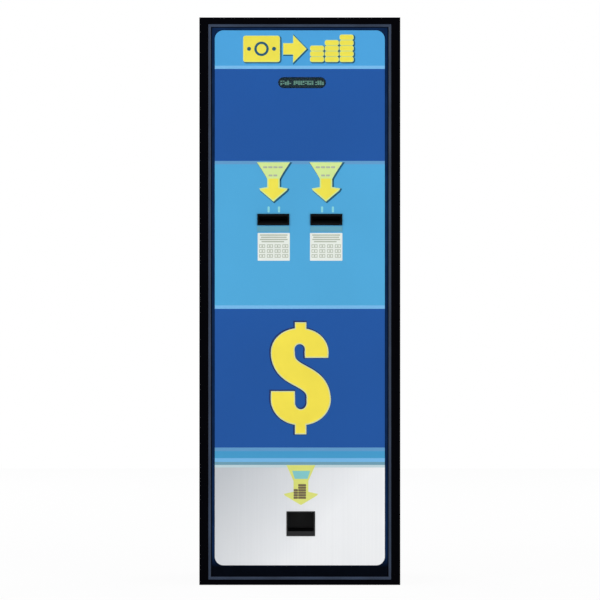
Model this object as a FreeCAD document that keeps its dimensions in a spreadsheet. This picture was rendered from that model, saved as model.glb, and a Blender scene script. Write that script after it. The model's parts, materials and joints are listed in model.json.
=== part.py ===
import FreeCAD, Part
import math
import os
import re

import Sketcher

# Coin changer dispenser: a floor-standing cabinet that takes banknotes and pays out coins.
# Millimetres. The origin is at the bottom centre, +Z is up and the front faces -Y.

# Driving dimensions
SIZES = {
    # Cabinet
    "cab_width": 508, "cab_height": 1435, "cab_depth": 460, "wall": 3,
    "anchor_across": 380, "anchor_along": 280, "anchor_radius": 7,
    # Front frame, stainless panel and printed film
    "frame_depth": 6, "frame_side": 31.6, "frame_top": 25.5, "frame_bottom": 21.4,
    "bevel_width": 10, "bevel_depth": 5,
    "panel_side_gap": 39, "panel_top_gap": 32.5, "panel_bottom_gap": 49.5, "panel_corner": 22,
    "panel_thick": 2, "film_thick": 0.5, "film_start": 297,
    "stud_radius": 2.5, "stud_length": 12, "stud_inset": 18, "nut_radius": 4.6, "nut_thick": 4,
    "stud_low": 90, "stud_headroom": 112.5,
    # Message display
    "display_x": 5.6, "display_drop": 164.7, "display_width": 121, "display_height": 28,
    "window_thick": 2, "window_ledge": 2, "module_width": 104, "module_height": 16,
    "module_thick": 12, "board_thick": 1.6, "display_board_width": 150,
    "display_board_height": 50, "standoff_radius": 3, "standoff_inset": 6,
    # Banknote mouths and validators
    "acceptor_spacing": 134, "slot_up": 924, "mask_width": 81, "mask_height": 29,
    "mask_proud": 3, "snout_width": 76, "snout_height": 23, "snout_length": 15,
    "mouth_height": 17, "mouth_rim": 2, "funnel_depth": 11, "throat_width": 69,
    "throat_height": 6, "lip_height": 13.7, "lip_drop": 2.4, "lip_thick": 1,
    "validator_width": 112, "validator_length": 160, "base_height": 50, "head_height": 34,
    "roller_radius": 12, "roller_width": 14, "roller_spacing": 36, "roller_inset": 60,
    "shaft_radius": 3, "roller_rise": 0.8, "roller_room": 2,
    # Cash boxes
    "cash_width": 100, "cash_depth": 95, "cash_height": 200, "cash_wall": 1.5,
    "cash_gap": 4, "cash_drop": 20, "grip_width": 60, "grip_height": 14, "grip_reach": 22,
    "grip_bar": 5, "shelf_lip": 18,
    # Coin hoppers
    "hopper_spacing": 220, "hopper_width": 130, "hopper_depth": 170, "hopper_base": 60,
    "hopper_shelf_up": 333, "drop_depth": 72, "disc_radius": 57, "disc_thick": 8,
    "disc_recess": 14, "coin_hole_radius": 13.5, "coin_hole_circle": 36, "coin_holes": 5,
    "spindle_radius": 4, "spindle_length": 24, "cone_radius": 14, "cone_height": 16,
    "exit_width": 34, "exit_height": 7, "bowl_bottom": 116, "bowl_width": 150,
    "bowl_depth": 196, "bowl_height": 165, "bowl_wall": 3, "motor_width": 60,
    "motor_depth": 34, "motor_height": 46,
    # Coin chute and cup
    "chute_wall": 1.5, "chute_margin": 30, "chute_exit_width": 56, "chute_exit_depth": 36,
    "cup_x": 2.4, "cup_up": 123.4, "cup_width": 72, "cup_height": 62.4, "cup_depth": 74,
    "cup_wall": 3, "cup_proud": 1.5, "cup_lip": 9, "cup_slope": 14, "cup_corner": 4,
    # Electrics
    "control_width": 180, "control_height": 190, "control_up": 1000, "board_grid": 2,
    "standoff_length": 10,
    "button_radius": 4, "button_length": 9, "button_base": 12, "button_base_thick": 6,
    "button_spacing": 32, "supply_width": 110, "supply_depth": 110, "supply_height": 82,
    "supply_x": -35, "inlet_x": -150, "inlet_up": 46, "inlet_width": 90, "inlet_height": 34,
    "inlet_body_height": 28, "inlet_body_depth": 26, "socket_width": 25, "socket_height": 18,
    "socket_depth": 16, "rocker_width": 13, "rocker_height": 20, "rocker_thick": 9,
    "rocker_room": 2.5, "rocker_pin_radius": 1.5,
    # Rear doorway and door
    "door_side_gap": 20, "door_top_gap": 25, "door_low": 72, "door_depth": 20,
    "door_skin": 2.5, "door_return": 16, "doorway_side_lap": 19, "doorway_top_lap": 20,
    "doorway_bottom_lap": 23, "seal_thick": 5, "seal_width": 10, "rib_height": 60,
    "rib_skin": 2, "rib_bottom_gap": 58, "rib_top_gap": 60, "vent_width": 120,
    "vent_height": 5, "vent_pitch": 14, "vent_count": 6, "vent_low": 240, "vent_drop": 230,
    # Hinges
    "hinge_out": 8, "hinge_rise": 12, "barrel_radius": 6, "barrel_length": 40,
    "hinge_pin_radius": 3, "hinge_bottom_gap": 108, "hinge_top_gap": 170,
    # Handle, lock and latch rods
    "handle_inset": 59, "handle_up": 740, "handle_reach": 32, "collar_radius": 22,
    "collar_thick": 4, "stem_radius": 10, "bar_length": 110, "bar_height": 18,
    "bar_thick": 12, "plug_radius": 7, "plug_depth": 15, "key_width": 1.6, "key_height": 8,
    "key_depth": 6, "latch_spindle_radius": 5, "cam_reach": 22, "cam_width": 16,
    "cam_thick": 4, "cam_pin_radius": 3.5, "cam_gap": 1, "yoke_start": 8.5,
    "yoke_width": 20.5, "yoke_slack": 0.9, "yoke_above": 14, "yoke_thick": 4,
    "rod_radius": 5, "rod_inset": 7, "rod_top_gap": 7, "guide_width": 18,
    "guide_height": 20, "guide_wall": 3,
    # Clearances
    "fit_gap": 0.3, "running_gap": 0.06, "edge_gap": 2.5,
}

# Places worked out from the driving dimensions
PLACES = {
    "half_width": "cab_width / 2",
    "inner_x": "half_width - wall",
    "front": "-cab_depth / 2",
    "plate_front": "front + frame_depth",
    "plate_back": "plate_front + wall",
    "panel_front": "plate_front - panel_thick",
    "film_front": "panel_front - film_thick",
    "door_back": "cab_depth / 2 - handle_reach",
    "door_front": "door_back - door_depth",
    "rear": "door_front - seal_thick",
    "rear_inside": "rear - wall",
    "panel_width": "cab_width - 2 * panel_side_gap",
    "panel_top": "cab_height - panel_top_gap",
    "stud_pitch": "(panel_top - stud_headroom - stud_low) / 3",
    "display_up": "cab_height - display_drop",
    "mask_front": "film_front - mask_proud",
    "snout_back": "plate_back + snout_length",
    "path_low": "slot_up - throat_height / 2",
    "path_high": "slot_up + throat_height / 2",
    "validator_front": "snout_back + fit_gap",
    "validator_back": "validator_front + validator_length",
    "validator_floor": "path_low - base_height",
    "roller_y": "validator_front + roller_inset",
    "roller_up": "path_low + roller_rise - roller_radius",
    "cash_front": "validator_back + cash_gap",
    "cash_back": "cash_front + cash_depth",
    "cash_top": "path_low - cash_drop",
    "cash_floor": "cash_top - cash_height",
    "cash_shelf_top": "cash_floor - fit_gap",
    "hopper_front": "plate_back + drop_depth",
    "hopper_back": "hopper_front + hopper_depth",
    "hopper_top": "hopper_shelf_up + hopper_base",
    "hopper_y": "hopper_front + hopper_depth / 2",
    "disc_floor": "hopper_top - disc_recess",
    "chute_top": "hopper_shelf_up - wall",
    "cup_top": "cup_up + cup_height",
    "cup_front": "panel_front - cup_proud",
    "cup_back": "cup_front + cup_depth",
    "drop_front": "plate_back + chute_wall + edge_gap",
    "drop_back": "hopper_front - edge_gap",
    "chute_half": "hopper_spacing / 2 + chute_margin",
    "display_board_front": "plate_back + standoff_length",
    "control_face": "inner_x - standoff_length - board_thick",
    "middle_y": "(front + rear) / 2",
    "door_width": "cab_width - 2 * door_side_gap",
    "door_high": "cab_height - door_top_gap",
    "doorway_width": "door_width - 2 * doorway_side_lap",
    "doorway_low": "door_low + doorway_bottom_lap",
    "doorway_high": "door_high - doorway_top_lap",
    "vent_high": "door_high - vent_drop",
    "hinge_x": "-door_width / 2 - hinge_out",
    "hinge_y": "rear + hinge_rise",
    "hinge_low": "door_low + hinge_bottom_gap",
    "hinge_pitch": "(door_high - hinge_top_gap - hinge_low) / 2",
    "handle_x": "door_width / 2 - handle_inset",
    "rod_y": "rear_inside - rod_inset",
    "cam_back": "rod_y - yoke_thick / 2 - cam_gap",
    "cam_front": "cam_back - cam_thick",
    "cam_rest": "cam_reach * sqrt(0.5)",
    "yoke_middle": "yoke_start + yoke_width / 2",
    "rocker_x": "inlet_x + inlet_width / 4",
    "socket_x": "inlet_x - inlet_width / 5",
}

SIDES = (("left", -1), ("right", 1))
WORD = re.compile(r"[a-z][a-z0-9_]*")
TURNS = {
    "x": FreeCAD.Rotation(FreeCAD.Vector(0, 1, 0), 90),
    "y": FreeCAD.Rotation(FreeCAD.Vector(1, 0, 0), -90),
    "z": FreeCAD.Rotation(),
}

doc = FreeCAD.newDocument("CoinChanger")
dims = doc.addObject("Spreadsheet::Sheet", "Dims")
for row, (alias, value) in enumerate(SIZES.items(), start=1):
    dims.set(f"A{row}", alias)
    dims.set(f"B{row}", str(value))
    dims.setAlias(f"B{row}", alias)
doc.recompute()

NODES = []


def spell_out(formula):
    """Write a formula of sizes and places as an expression on the sheet's cells."""
    def swap(match):
        word = match.group(0)
        if word in SIZES:
            return "Dims." + word
        if word in PLACES:
            return "(" + spell_out(PLACES[word]) + ")"
        return word
    return WORD.sub(swap, formula)


def bind(item, field, formula):
    item.setExpression(field, spell_out(formula))


def place(item, x, y, z):
    for axis, formula in zip("xyz", (x, y, z)):
        bind(item, f"Placement.Base.{axis}", formula)


def node(label, item):
    """Name a finished sub-part, whose label is also its file name."""
    item.Label = label
    NODES.append(item)
    return item


def block(name, x, y, z):
    """A box between pairs of bound planes."""
    item = doc.addObject("Part::Box", name)
    for field, (low, high) in zip(("Length", "Width", "Height"), (x, y, z)):
        bind(item, field, f"({high}) - ({low})")
    place(item, x[0], y[0], z[0])
    return item


def centred(middle, size):
    """The two planes that lie half a size either side of a middle."""
    return (f"({middle}) - ({size}) / 2", f"({middle}) + ({size}) / 2")


def rod(name, axis, start, length, radius):
    """A cylinder from a start point along an axis."""
    item = doc.addObject("Part::Cylinder", name)
    bind(item, "Radius", radius)
    bind(item, "Height", length)
    item.Placement = FreeCAD.Placement(FreeCAD.Vector(), TURNS[axis])
    place(item, *start)
    return item


def join(name, pieces):
    item = doc.addObject("Part::MultiFuse", name)
    item.Shapes = pieces
    item.Refine = True
    return item


def cut(name, base, tools):
    item = doc.addObject("Part::Cut", name)
    item.Base = base
    item.Tool = tools[0] if len(tools) == 1 else join(name + "_tools", tools)
    item.Refine = True
    return item


def together(name, pieces):
    """Separate solids that share one node."""
    item = doc.addObject("Part::Compound", name)
    item.Links = pieces
    return item


def pill(name, middle_x, middle_z, width, height, y):
    """A bar with round ends that runs along Y."""
    radius = f"({height}) / 2"
    straight = f"({width}) - ({height})"
    left, right = centred(middle_x, straight)
    depth = f"({y[1]}) - ({y[0]})"
    bar = block(name + "_bar", (left, right), y, centred(middle_z, height))
    ends = [
        rod(f"{name}_{side}", "y", (x, y[0], middle_z), depth, radius)
        for side, x in (("left", left), ("right", right))
    ]
    return join(name, [bar] + ends)


# Sketched bodies
def body(name):
    return doc.addObject("PartDesign::Body", name)


def sketch_on(owner, role, offset):
    """A sketch on one of the body's own planes, moved along that plane's normal."""
    plane = next(item for item in owner.Origin.OriginFeatures if item.Role == role)
    sketch = owner.newObject("Sketcher::SketchObject", owner.Name + "_sketch")
    sketch.AttachmentSupport = [(plane, "")]
    sketch.MapMode = "FlatFace"
    bind(sketch, "AttachmentOffset.Base.z", offset)
    return sketch


def pin_down(sketch, kind, curve, point, start, formula):
    """Bind one point's distance from the sketch's origin to a formula."""
    index = sketch.addConstraint(Sketcher.Constraint(kind, -1, 1, curve, point, start))
    bind(sketch, f"Constraints[{index}]", formula)


def draw_polygon(sketch, corners):
    """A closed outline through corners given as pairs of formulas."""
    count = len(corners)
    turn = 2 * math.pi / count
    points = [
        FreeCAD.Vector(math.cos(turn * index), math.sin(turn * index), 0)
        for index in range(count)
    ]
    first = sketch.GeometryCount
    for index in range(count):
        sketch.addGeometry(Part.LineSegment(points[index], points[(index + 1) % count]))
    for index in range(count):
        after = first + (index + 1) % count
        sketch.addConstraint(Sketcher.Constraint("Coincident", first + index, 2, after, 1))
    for index, (across, up) in enumerate(corners):
        pin_down(sketch, "DistanceX", first + index, 1, points[index].x, across)
        pin_down(sketch, "DistanceY", first + index, 1, points[index].y, up)


def draw_rectangle(sketch, x, z):
    draw_polygon(sketch, [(x[0], z[0]), (x[1], z[0]), (x[1], z[1]), (x[0], z[1])])


def draw_circle(sketch, x, z, radius):
    circle = Part.Circle(FreeCAD.Vector(1, 1, 0), FreeCAD.Vector(0, 0, 1), 1)
    index = sketch.addGeometry(circle)
    pin_down(sketch, "DistanceX", index, 3, 1, x)
    pin_down(sketch, "DistanceY", index, 3, 1, z)
    size = sketch.addConstraint(Sketcher.Constraint("Radius", index, 1))
    bind(sketch, f"Constraints[{size}]", radius)


def pad(owner, sketch, length, backwards=False):
    feature = owner.newObject("PartDesign::Pad", owner.Name + "_pad")
    feature.Profile = sketch
    bind(feature, "Length", length)
    feature.Reversed = backwards
    doc.recompute()
    return feature


def pocket(owner, sketch, length, backwards=False):
    """Cut the sketch out of its body, and make sure that something was cut."""
    before = owner.Shape.Volume
    feature = owner.newObject("PartDesign::Pocket", owner.Name + "_pocket")
    feature.Profile = sketch
    feature.Type = "Length"
    bind(feature, "Length", length)
    feature.Reversed = backwards
    doc.recompute()
    if owner.Shape.Volume >= before:
        raise RuntimeError(f"{owner.Name}: the pocket cut nothing")
    return feature


def edges_along(shape, direction, keep):
    """Names of the straight edges along a direction whose middle passes a test."""
    names = []
    for index, edge in enumerate(shape.Edges, start=1):
        if len(edge.Vertexes) < 2 or edge.Curve.TypeId != "Part::GeomLine":
            continue
        along = edge.tangentAt(edge.FirstParameter)
        if abs(along.dot(direction)) > 0.999 and keep(edge.CenterOfMass):
            names.append(f"Edge{index}")
    return names


def round_edges(owner, feature, names, radius):
    fillet = owner.newObject("PartDesign::Fillet", owner.Name + "_fillet")
    fillet.Base = (feature, names)
    bind(fillet, "Radius", radius)
    doc.recompute()
    return fillet


def front_sheet(name, y_low, thickness, outlines, holes):
    """A sheet that faces the front, padded backwards from its front face."""
    owner = body(name)
    sketch = sketch_on(owner, "XZ_Plane", f"-({y_low})")
    for x, z in outlines:
        draw_rectangle(sketch, x, z)
    for x, z, radius in holes:
        draw_circle(sketch, x, z, radius)
    return owner, pad(owner, sketch, thickness, backwards=True)


# Shared outlines on the front
def stud_places():
    rows = [f"stud_low + {row} * stud_pitch" for row in range(4)]
    reach = "panel_width / 2 - stud_inset"
    return [(f"{sign} * ({reach})", row) for sign in (-1, 1) for row in rows]


def acceptor_x(sign):
    return f"{sign} * acceptor_spacing / 2"


def snout_window(sign):
    wide = "snout_width + 2 * fit_gap"
    high = "snout_height + 2 * fit_gap"
    return centred(acceptor_x(sign), wide), centred("slot_up", high)


def cup_window():
    wide = "cup_width + 2 * fit_gap"
    return centred("cup_x", wide), ("cup_up - fit_gap", "cup_top + fit_gap")


# Cabinet
def build_cabinet_walls():
    depth = ("plate_back", "rear_inside")
    for side, sign in SIDES:
        x = ("-half_width", "-inner_x") if sign < 0 else ("inner_x", "half_width")
        node(f"{side}_side", block(f"{side}_side", x, depth, ("0", "cab_height")))
    across = ("-inner_x", "inner_x")
    node("roof", block("roof", across, depth, ("cab_height - wall", "cab_height")))
    plate = block("floor_blank", across, depth, ("0", "wall"))
    holes = [
        rod(
            f"anchor_hole_{index}",
            "z",
            (f"{sx} * anchor_across / 2", f"middle_y + {sy} * anchor_along / 2", "-1"),
            "wall + 2",
            "anchor_radius",
        )
        for index, (sx, sy) in enumerate(((-1, -1), (1, -1), (-1, 1), (1, 1)))
    ]
    node("floor_plate", cut("floor_plate", plate, holes))


def build_front_frame():
    """A picture-frame ring whose inner front edge is bevelled."""
    x = ("-half_width + frame_side", "half_width - frame_side")
    z = ("frame_bottom", "cab_height - frame_top")
    outlines = [(("-half_width", "half_width"), ("0", "cab_height")), (x, z)]
    owner, ring = front_sheet("front_frame", "front", "frame_depth", outlines, [])
    front_y = dims.get("cab_depth") / -2
    inside = dims.get("cab_width") / 2 - dims.get("frame_side")
    names = edges_along(
        ring.Shape,
        FreeCAD.Vector(0, 0, 1),
        lambda middle: abs(middle.y - front_y) < 0.1 and abs(middle.x) < inside + 0.1,
    )
    names += edges_along(
        ring.Shape,
        FreeCAD.Vector(1, 0, 0),
        lambda middle: abs(middle.y - front_y) < 0.1
        and 1 < middle.z < dims.get("cab_height") - 1,
    )
    bevel = owner.newObject("PartDesign::Chamfer", "front_frame_bevel")
    bevel.Base = (ring, names)
    bevel.ChamferType = "Two distances"
    bind(bevel, "Size", "bevel_depth")
    bind(bevel, "Size2", "bevel_width")
    doc.recompute()
    node("front_frame", owner)


def build_front_plate():
    """The cabinet's steel front, which carries the panel."""
    outlines = [(("-half_width", "half_width"), ("0", "cab_height"))]
    outlines += [snout_window(sign) for _, sign in SIDES]
    outlines.append(cup_window())
    holes = [(x, z, "stud_radius + fit_gap") for x, z in stud_places()]
    owner, _ = front_sheet("front_plate_blank", "plate_front", "wall", outlines, holes)
    ledge_width = "display_width - 2 * window_ledge"
    ledge_height = "display_height - 2 * window_ledge"
    through = ("plate_front - 1", "plate_back + 1")
    hole = pill("plate_pill", "display_x", "display_up", ledge_width, ledge_height, through)
    node("front_plate", cut("front_plate", owner, [hole]))


def build_panel():
    """The stainless panel with round corners, and the printed film over most of it."""
    x = ("-panel_width / 2", "panel_width / 2")
    windows = [snout_window(sign) for _, sign in SIDES]
    outlines = [(x, ("panel_bottom_gap", "panel_top")), cup_window()] + windows
    corner_x = dims.get("cab_width") / 2 - dims.get("panel_side_gap") - 1
    for label, front, thick, shapes in (
        ("face_panel", "panel_front", "panel_thick", outlines),
        ("graphic_film", "film_front", "film_thick", [(x, ("film_start", "panel_top"))] + windows),
    ):
        owner, sheet = front_sheet(label + "_blank", front, thick, shapes, [])
        low = dims.get("film_start") + 1 if label == "graphic_film" else 0
        names = edges_along(
            sheet.Shape,
            FreeCAD.Vector(0, 1, 0),
            lambda middle: abs(middle.x) > corner_x and middle.z > low,
        )
        round_edges(owner, sheet, names, "panel_corner")
        through = (f"({front}) - 1", f"({front}) + ({thick}) + 1")
        hole = pill(label + "_pill", "display_x", "display_up", "display_width",
                    "display_height", through)
        node(label, cut(label, owner, [hole]))


def build_studs():
    """Studs on the panel's back, and the nuts that hold it to the plate."""
    studs = []
    nuts = []
    for index, (x, z) in enumerate(stud_places()):
        start = (x, "plate_front", z)
        studs.append(rod(f"stud_{index}", "y", start, "stud_length", "stud_radius"))
        nut = doc.addObject("Part::Prism", f"nut_blank_{index}")
        nut.Polygon = 6
        bind(nut, "Circumradius", "nut_radius")
        bind(nut, "Height", "nut_thick")
        nut.Placement = FreeCAD.Placement(FreeCAD.Vector(), TURNS["y"])
        place(nut, x, "plate_back", z)
        bore = rod(f"nut_bore_{index}", "y", (x, "plate_back - 1", z), "nut_thick + 2",
                   "stud_radius + running_gap")
        nuts.append(cut(f"nut_{index}", nut, [bore]))
    node("panel_fixings", together("panel_fixings", studs + nuts))


# Message display
def build_display():
    span = ("panel_front", "panel_front + window_thick")
    width = "display_width - 2 * fit_gap"
    height = "display_height - 2 * fit_gap"
    window = pill("display_window", "display_x", "display_up", width, height, span)
    node("display_window", window)
    x = centred("display_x", "display_board_width")
    z = centred("display_up", "display_board_height")
    board = ("display_board_front", "display_board_front + board_thick")
    node("display_board", block("display_board", x, board, z))
    module = block(
        "display_module",
        centred("display_x", "module_width"),
        ("display_board_front - module_thick", "display_board_front"),
        centred("display_up", "module_height"),
    )
    node("display_module", module)


# Banknote mouths and validators
def build_mask(side, sign):
    """A bezel with a mouth that narrows to the banknote slot."""
    owner = body(f"bill_mask_{side}")
    x = acceptor_x(sign)
    face = sketch_on(owner, "XZ_Plane", "-(mask_front)")
    draw_rectangle(face, centred(x, "mask_width"), centred("slot_up", "mask_height"))
    pad(owner, face, "mask_proud", backwards=True)
    neck = sketch_on(owner, "XZ_Plane", "-(film_front)")
    draw_rectangle(neck, centred(x, "snout_width"), centred("slot_up", "snout_height"))
    pad(owner, neck, "snout_back - (film_front)", backwards=True)
    mouth = sketch_on(owner, "XZ_Plane", "-(mask_front)")
    draw_rectangle(mouth, centred(x, "snout_width - mouth_rim"),
                   centred("slot_up", "mouth_height"))
    inner = sketch_on(owner, "XZ_Plane", "-(mask_front + funnel_depth)")
    draw_rectangle(inner, centred(x, "throat_width"), centred("slot_up", "throat_height"))
    funnel = owner.newObject("PartDesign::SubtractiveLoft", f"funnel_{side}")
    funnel.Profile = mouth
    funnel.Sections = [inner]
    doc.recompute()
    throat = sketch_on(owner, "XZ_Plane", "-(mask_front)")
    draw_rectangle(throat, centred(x, "throat_width"), centred("slot_up", "throat_height"))
    pocket(owner, throat, "snout_back - (mask_front)")
    node(f"bill_mask_{side}", owner)


def build_lip(side, sign):
    """The metal strip under the mouth that a banknote slides up over."""
    top = "slot_up - mask_height / 2 - lip_drop"
    strip = block(
        f"bill_lip_{side}",
        centred(acceptor_x(sign), "mask_width"),
        ("film_front - lip_thick", "film_front"),
        (f"({top}) - lip_height", top),
    )
    node(f"bill_lip_{side}", strip)


def build_validator(side, sign):
    """The lower half with the banknote's path and roller, and the sensor head over it."""
    x = acceptor_x(sign)
    wide = centred(x, "validator_width")
    path = centred(x, "throat_width")
    span = ("validator_front", "validator_back")
    base = block(f"base_blank_{side}", wide, span, ("validator_floor", "path_high"))
    room = "roller_radius + roller_room"
    tools = [
        block(f"path_{side}", path, ("validator_front - 1", "validator_back + 1"),
              ("path_low", "path_high + 1")),
        block(f"roller_pit_{side}", path, (f"roller_y - ({room})", f"roller_y + {room}"),
              (f"roller_up - ({room})", "path_high")),
        rod(f"shaft_bore_{side}", "x", (f"{wide[0]} - 1", "roller_y", "roller_up"),
            "validator_width + 2", "shaft_radius + running_gap"),
    ]
    node(f"validator_base_{side}", cut(f"validator_base_{side}", base, tools))
    head = block(f"validator_head_{side}", wide, span, ("path_high", "path_high + head_height"))
    node(f"validator_head_{side}", head)
    start = f"({x}) - validator_width / 2 + wall"
    pieces = [rod(f"roller_shaft_{side}", "x", (start, "roller_y", "roller_up"),
                  "validator_width - 2 * wall", "shaft_radius")]
    for name, where in (("a", -1), ("b", 1)):
        low = f"({x}) + {where} * roller_spacing / 2 - roller_width / 2"
        pieces.append(rod(f"tyre_{name}_{side}", "x", (low, "roller_y", "roller_up"),
                          "roller_width", "roller_radius"))
    node(f"drive_roller_{side}", join(f"drive_roller_{side}", pieces))


def build_cash_box(side, sign):
    """An open-topped steel box that catches the banknotes, with a grip on its back."""
    x = acceptor_x(sign)
    wide = centred(x, "cash_width")
    shell = block(f"cash_shell_{side}", wide, ("cash_front", "cash_back"),
                  ("cash_floor", "cash_top"))
    low, high = wide
    grip_top = "cash_top - shelf_lip"
    grip = block(f"grip_blank_{side}", centred(x, "grip_width"),
                 ("cash_back", "cash_back + grip_reach"),
                 (f"{grip_top} - grip_height", grip_top))
    hollow = block(f"cash_hollow_{side}", (f"{low} + cash_wall", f"{high} - cash_wall"),
                   ("cash_front + cash_wall", "cash_back - cash_wall"),
                   ("cash_floor + cash_wall", "cash_top + 1"))
    finger = block(f"finger_room_{side}", centred(x, "grip_width - 2 * grip_bar"),
                   ("cash_back", "cash_back + grip_reach - grip_bar"),
                   (f"{grip_top} - grip_height - 1", f"{grip_top} + 1"))
    solid = join(f"cash_solid_{side}", [shell, grip])
    node(f"cash_box_{side}", cut(f"cash_box_{side}", solid, [hollow, finger]))


# Shelves
def build_shelves():
    """Three shelves, each on an angle at both side walls."""
    across = ("-inner_x", "inner_x")
    tray = block("cash_tray", across, ("plate_back", "cash_back + shelf_lip"),
                 ("cash_shelf_top - wall", "cash_shelf_top"))
    stop = block("cash_stop", ("-acceptor_spacing", "acceptor_spacing"),
                 ("cash_back + fit_gap", "cash_back + fit_gap + wall"),
                 ("cash_shelf_top", "cash_shelf_top + shelf_lip"))
    node("cash_box_shelf", join("cash_box_shelf", [tray, stop]))
    shelf = block("validator_shelf", across, ("plate_back", "validator_back"),
                  ("validator_floor - wall", "validator_floor"))
    node("validator_shelf", shelf)
    deck = block("hopper_deck", across, ("plate_back", "hopper_back + motor_depth + shelf_lip"),
                 ("hopper_shelf_up - wall", "hopper_shelf_up"))
    drop = block("coin_drop", ("-(chute_half)", "chute_half"), ("drop_front", "drop_back"),
                 ("hopper_shelf_up - wall - 1", "hopper_shelf_up + 1"))
    node("hopper_shelf", cut("hopper_shelf", deck, [drop]))
    angles = []
    tops = (("validator", "validator_floor - wall", "validator_back"),
            ("cash", "cash_shelf_top - wall", "cash_back"),
            ("hopper", "hopper_shelf_up - wall", "hopper_back"))
    for name, top, back in tops:
        for side, sign in SIDES:
            wide = ("-inner_x", "-inner_x + shelf_lip") if sign < 0 else (
                "inner_x - shelf_lip", "inner_x")
            thin = ("-inner_x + door_skin", "-inner_x + shelf_lip + 1") if sign < 0 else (
                "inner_x - shelf_lip - 1", "inner_x - door_skin")
            bar = block(f"{name}_bar_{side}", wide, ("plate_back", back),
                        (f"{top} - shelf_lip", top))
            notch = block(f"{name}_notch_{side}", thin, ("plate_back - 1", f"{back} + 1"),
                          (f"{top} - shelf_lip - 1", f"{top} - door_skin"))
            angles.append(cut(f"{name}_angle_{side}", bar, [notch]))
    node("shelf_angles", together("shelf_angles", angles))


# Coin hoppers
def hopper_x(sign):
    return f"{sign} * hopper_spacing / 2"


def build_hopper_base(side, sign):
    """The block that holds the pay-out disc, with the coins' exit at its front."""
    x = hopper_x(sign)
    solid = block(f"hopper_blank_{side}", centred(x, "hopper_width"),
                  ("hopper_front", "hopper_back"), ("hopper_shelf_up", "hopper_top"))
    tools = [
        rod(f"disc_recess_{side}", "z", (x, "hopper_y", "disc_floor"), "disc_recess + 1",
            "disc_radius + cash_wall"),
        rod(f"spindle_bore_{side}", "z", (x, "hopper_y", "disc_floor - spindle_length"),
            "spindle_length + 1", "spindle_radius + running_gap"),
        block(f"coin_exit_{side}", centred(x, "exit_width"), ("hopper_front - 1", "hopper_y"),
              ("disc_floor", "disc_floor + exit_height")),
    ]
    node(f"hopper_base_{side}", cut(f"hopper_base_{side}", solid, tools))
    motor = block(f"hopper_motor_{side}", centred(x, "motor_width"),
                  ("hopper_back", "hopper_back + motor_depth"),
                  ("hopper_shelf_up", "hopper_shelf_up + motor_height"))
    node(f"hopper_motor_{side}", motor)


def build_hopper_disc(side, sign):
    """The turning disc: coins drop through its holes and are pushed out one by one."""
    x = hopper_x(sign)
    low = "disc_floor + fit_gap"
    plate = rod(f"disc_plate_{side}", "z", (x, "hopper_y", low), "disc_thick", "disc_radius")
    pin = rod(f"disc_pin_{side}", "z", (x, "hopper_y", "disc_floor - spindle_length + 2"),
              "spindle_length", "spindle_radius")
    cone = doc.addObject("Part::Cone", f"disc_cone_{side}")
    bind(cone, "Radius1", "cone_radius")
    bind(cone, "Radius2", "spindle_radius")
    bind(cone, "Height", "cone_height")
    place(cone, x, "hopper_y", f"{low} + disc_thick")
    solid = join(f"disc_solid_{side}", [plate, pin, cone])
    holes = []
    for index in range(int(dims.get("coin_holes"))):
        angle = 2 * math.pi * index / dims.get("coin_holes")
        across = f"({x}) + coin_hole_circle * {math.cos(angle):.6f}"
        along = f"hopper_y + coin_hole_circle * {math.sin(angle):.6f}"
        holes.append(rod(f"coin_hole_{side}_{index}", "z", (across, along, f"{low} - 1"),
                         "disc_thick + 2", "coin_hole_radius"))
    node(f"hopper_disc_{side}", cut(f"hopper_disc_{side}", solid, holes))


def build_bowl(side, sign):
    """The funnel that holds the coins, lofted from a small base to a wide mouth."""
    owner = body(f"hopper_bowl_{side}")
    x = hopper_x(sign)
    middle = "hopper_y"
    for name, kind, inset in (("outside", "AdditiveLoft", "0"),
                              ("inside", "SubtractiveLoft", "bowl_wall")):
        low = sketch_on(owner, "XY_Plane", "hopper_top")
        size = f"bowl_bottom - 2 * {inset}"
        draw_rectangle(low, centred(x, size), centred(middle, size))
        high = sketch_on(owner, "XY_Plane", "hopper_top + bowl_height")
        draw_rectangle(high, centred(x, f"bowl_width - 2 * {inset}"),
                       centred(middle, f"bowl_depth - 2 * {inset}"))
        loft = owner.newObject(f"PartDesign::{kind}", f"bowl_{name}_{side}")
        loft.Profile = low
        loft.Sections = [high]
        doc.recompute()
    node(f"hopper_bowl_{side}", owner)


def build_chute():
    """One funnel under both hoppers that leads the coins to the cup."""
    owner = body("coin_chute")
    front_to_back = ("drop_front", "drop_back")
    exit_middle = "drop_front + chute_exit_depth / 2"
    for name, kind, inset in (("outside", "AdditiveLoft", "chute_wall"),
                              ("inside", "SubtractiveLoft", "0")):
        low = sketch_on(owner, "XY_Plane", "cup_top")
        draw_rectangle(low, centred("cup_x", f"chute_exit_width + 2 * {inset}"),
                       centred(exit_middle, f"chute_exit_depth + 2 * {inset}"))
        high = sketch_on(owner, "XY_Plane", "chute_top")
        draw_rectangle(high, (f"-(chute_half) - {inset}", f"chute_half + {inset}"),
                       (f"{front_to_back[0]} - {inset}", f"{front_to_back[1]} + {inset}"))
        loft = owner.newObject(f"PartDesign::{kind}", f"chute_{name}")
        loft.Profile = low
        loft.Sections = [high]
        doc.recompute()
    node("coin_chute", owner)


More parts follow.
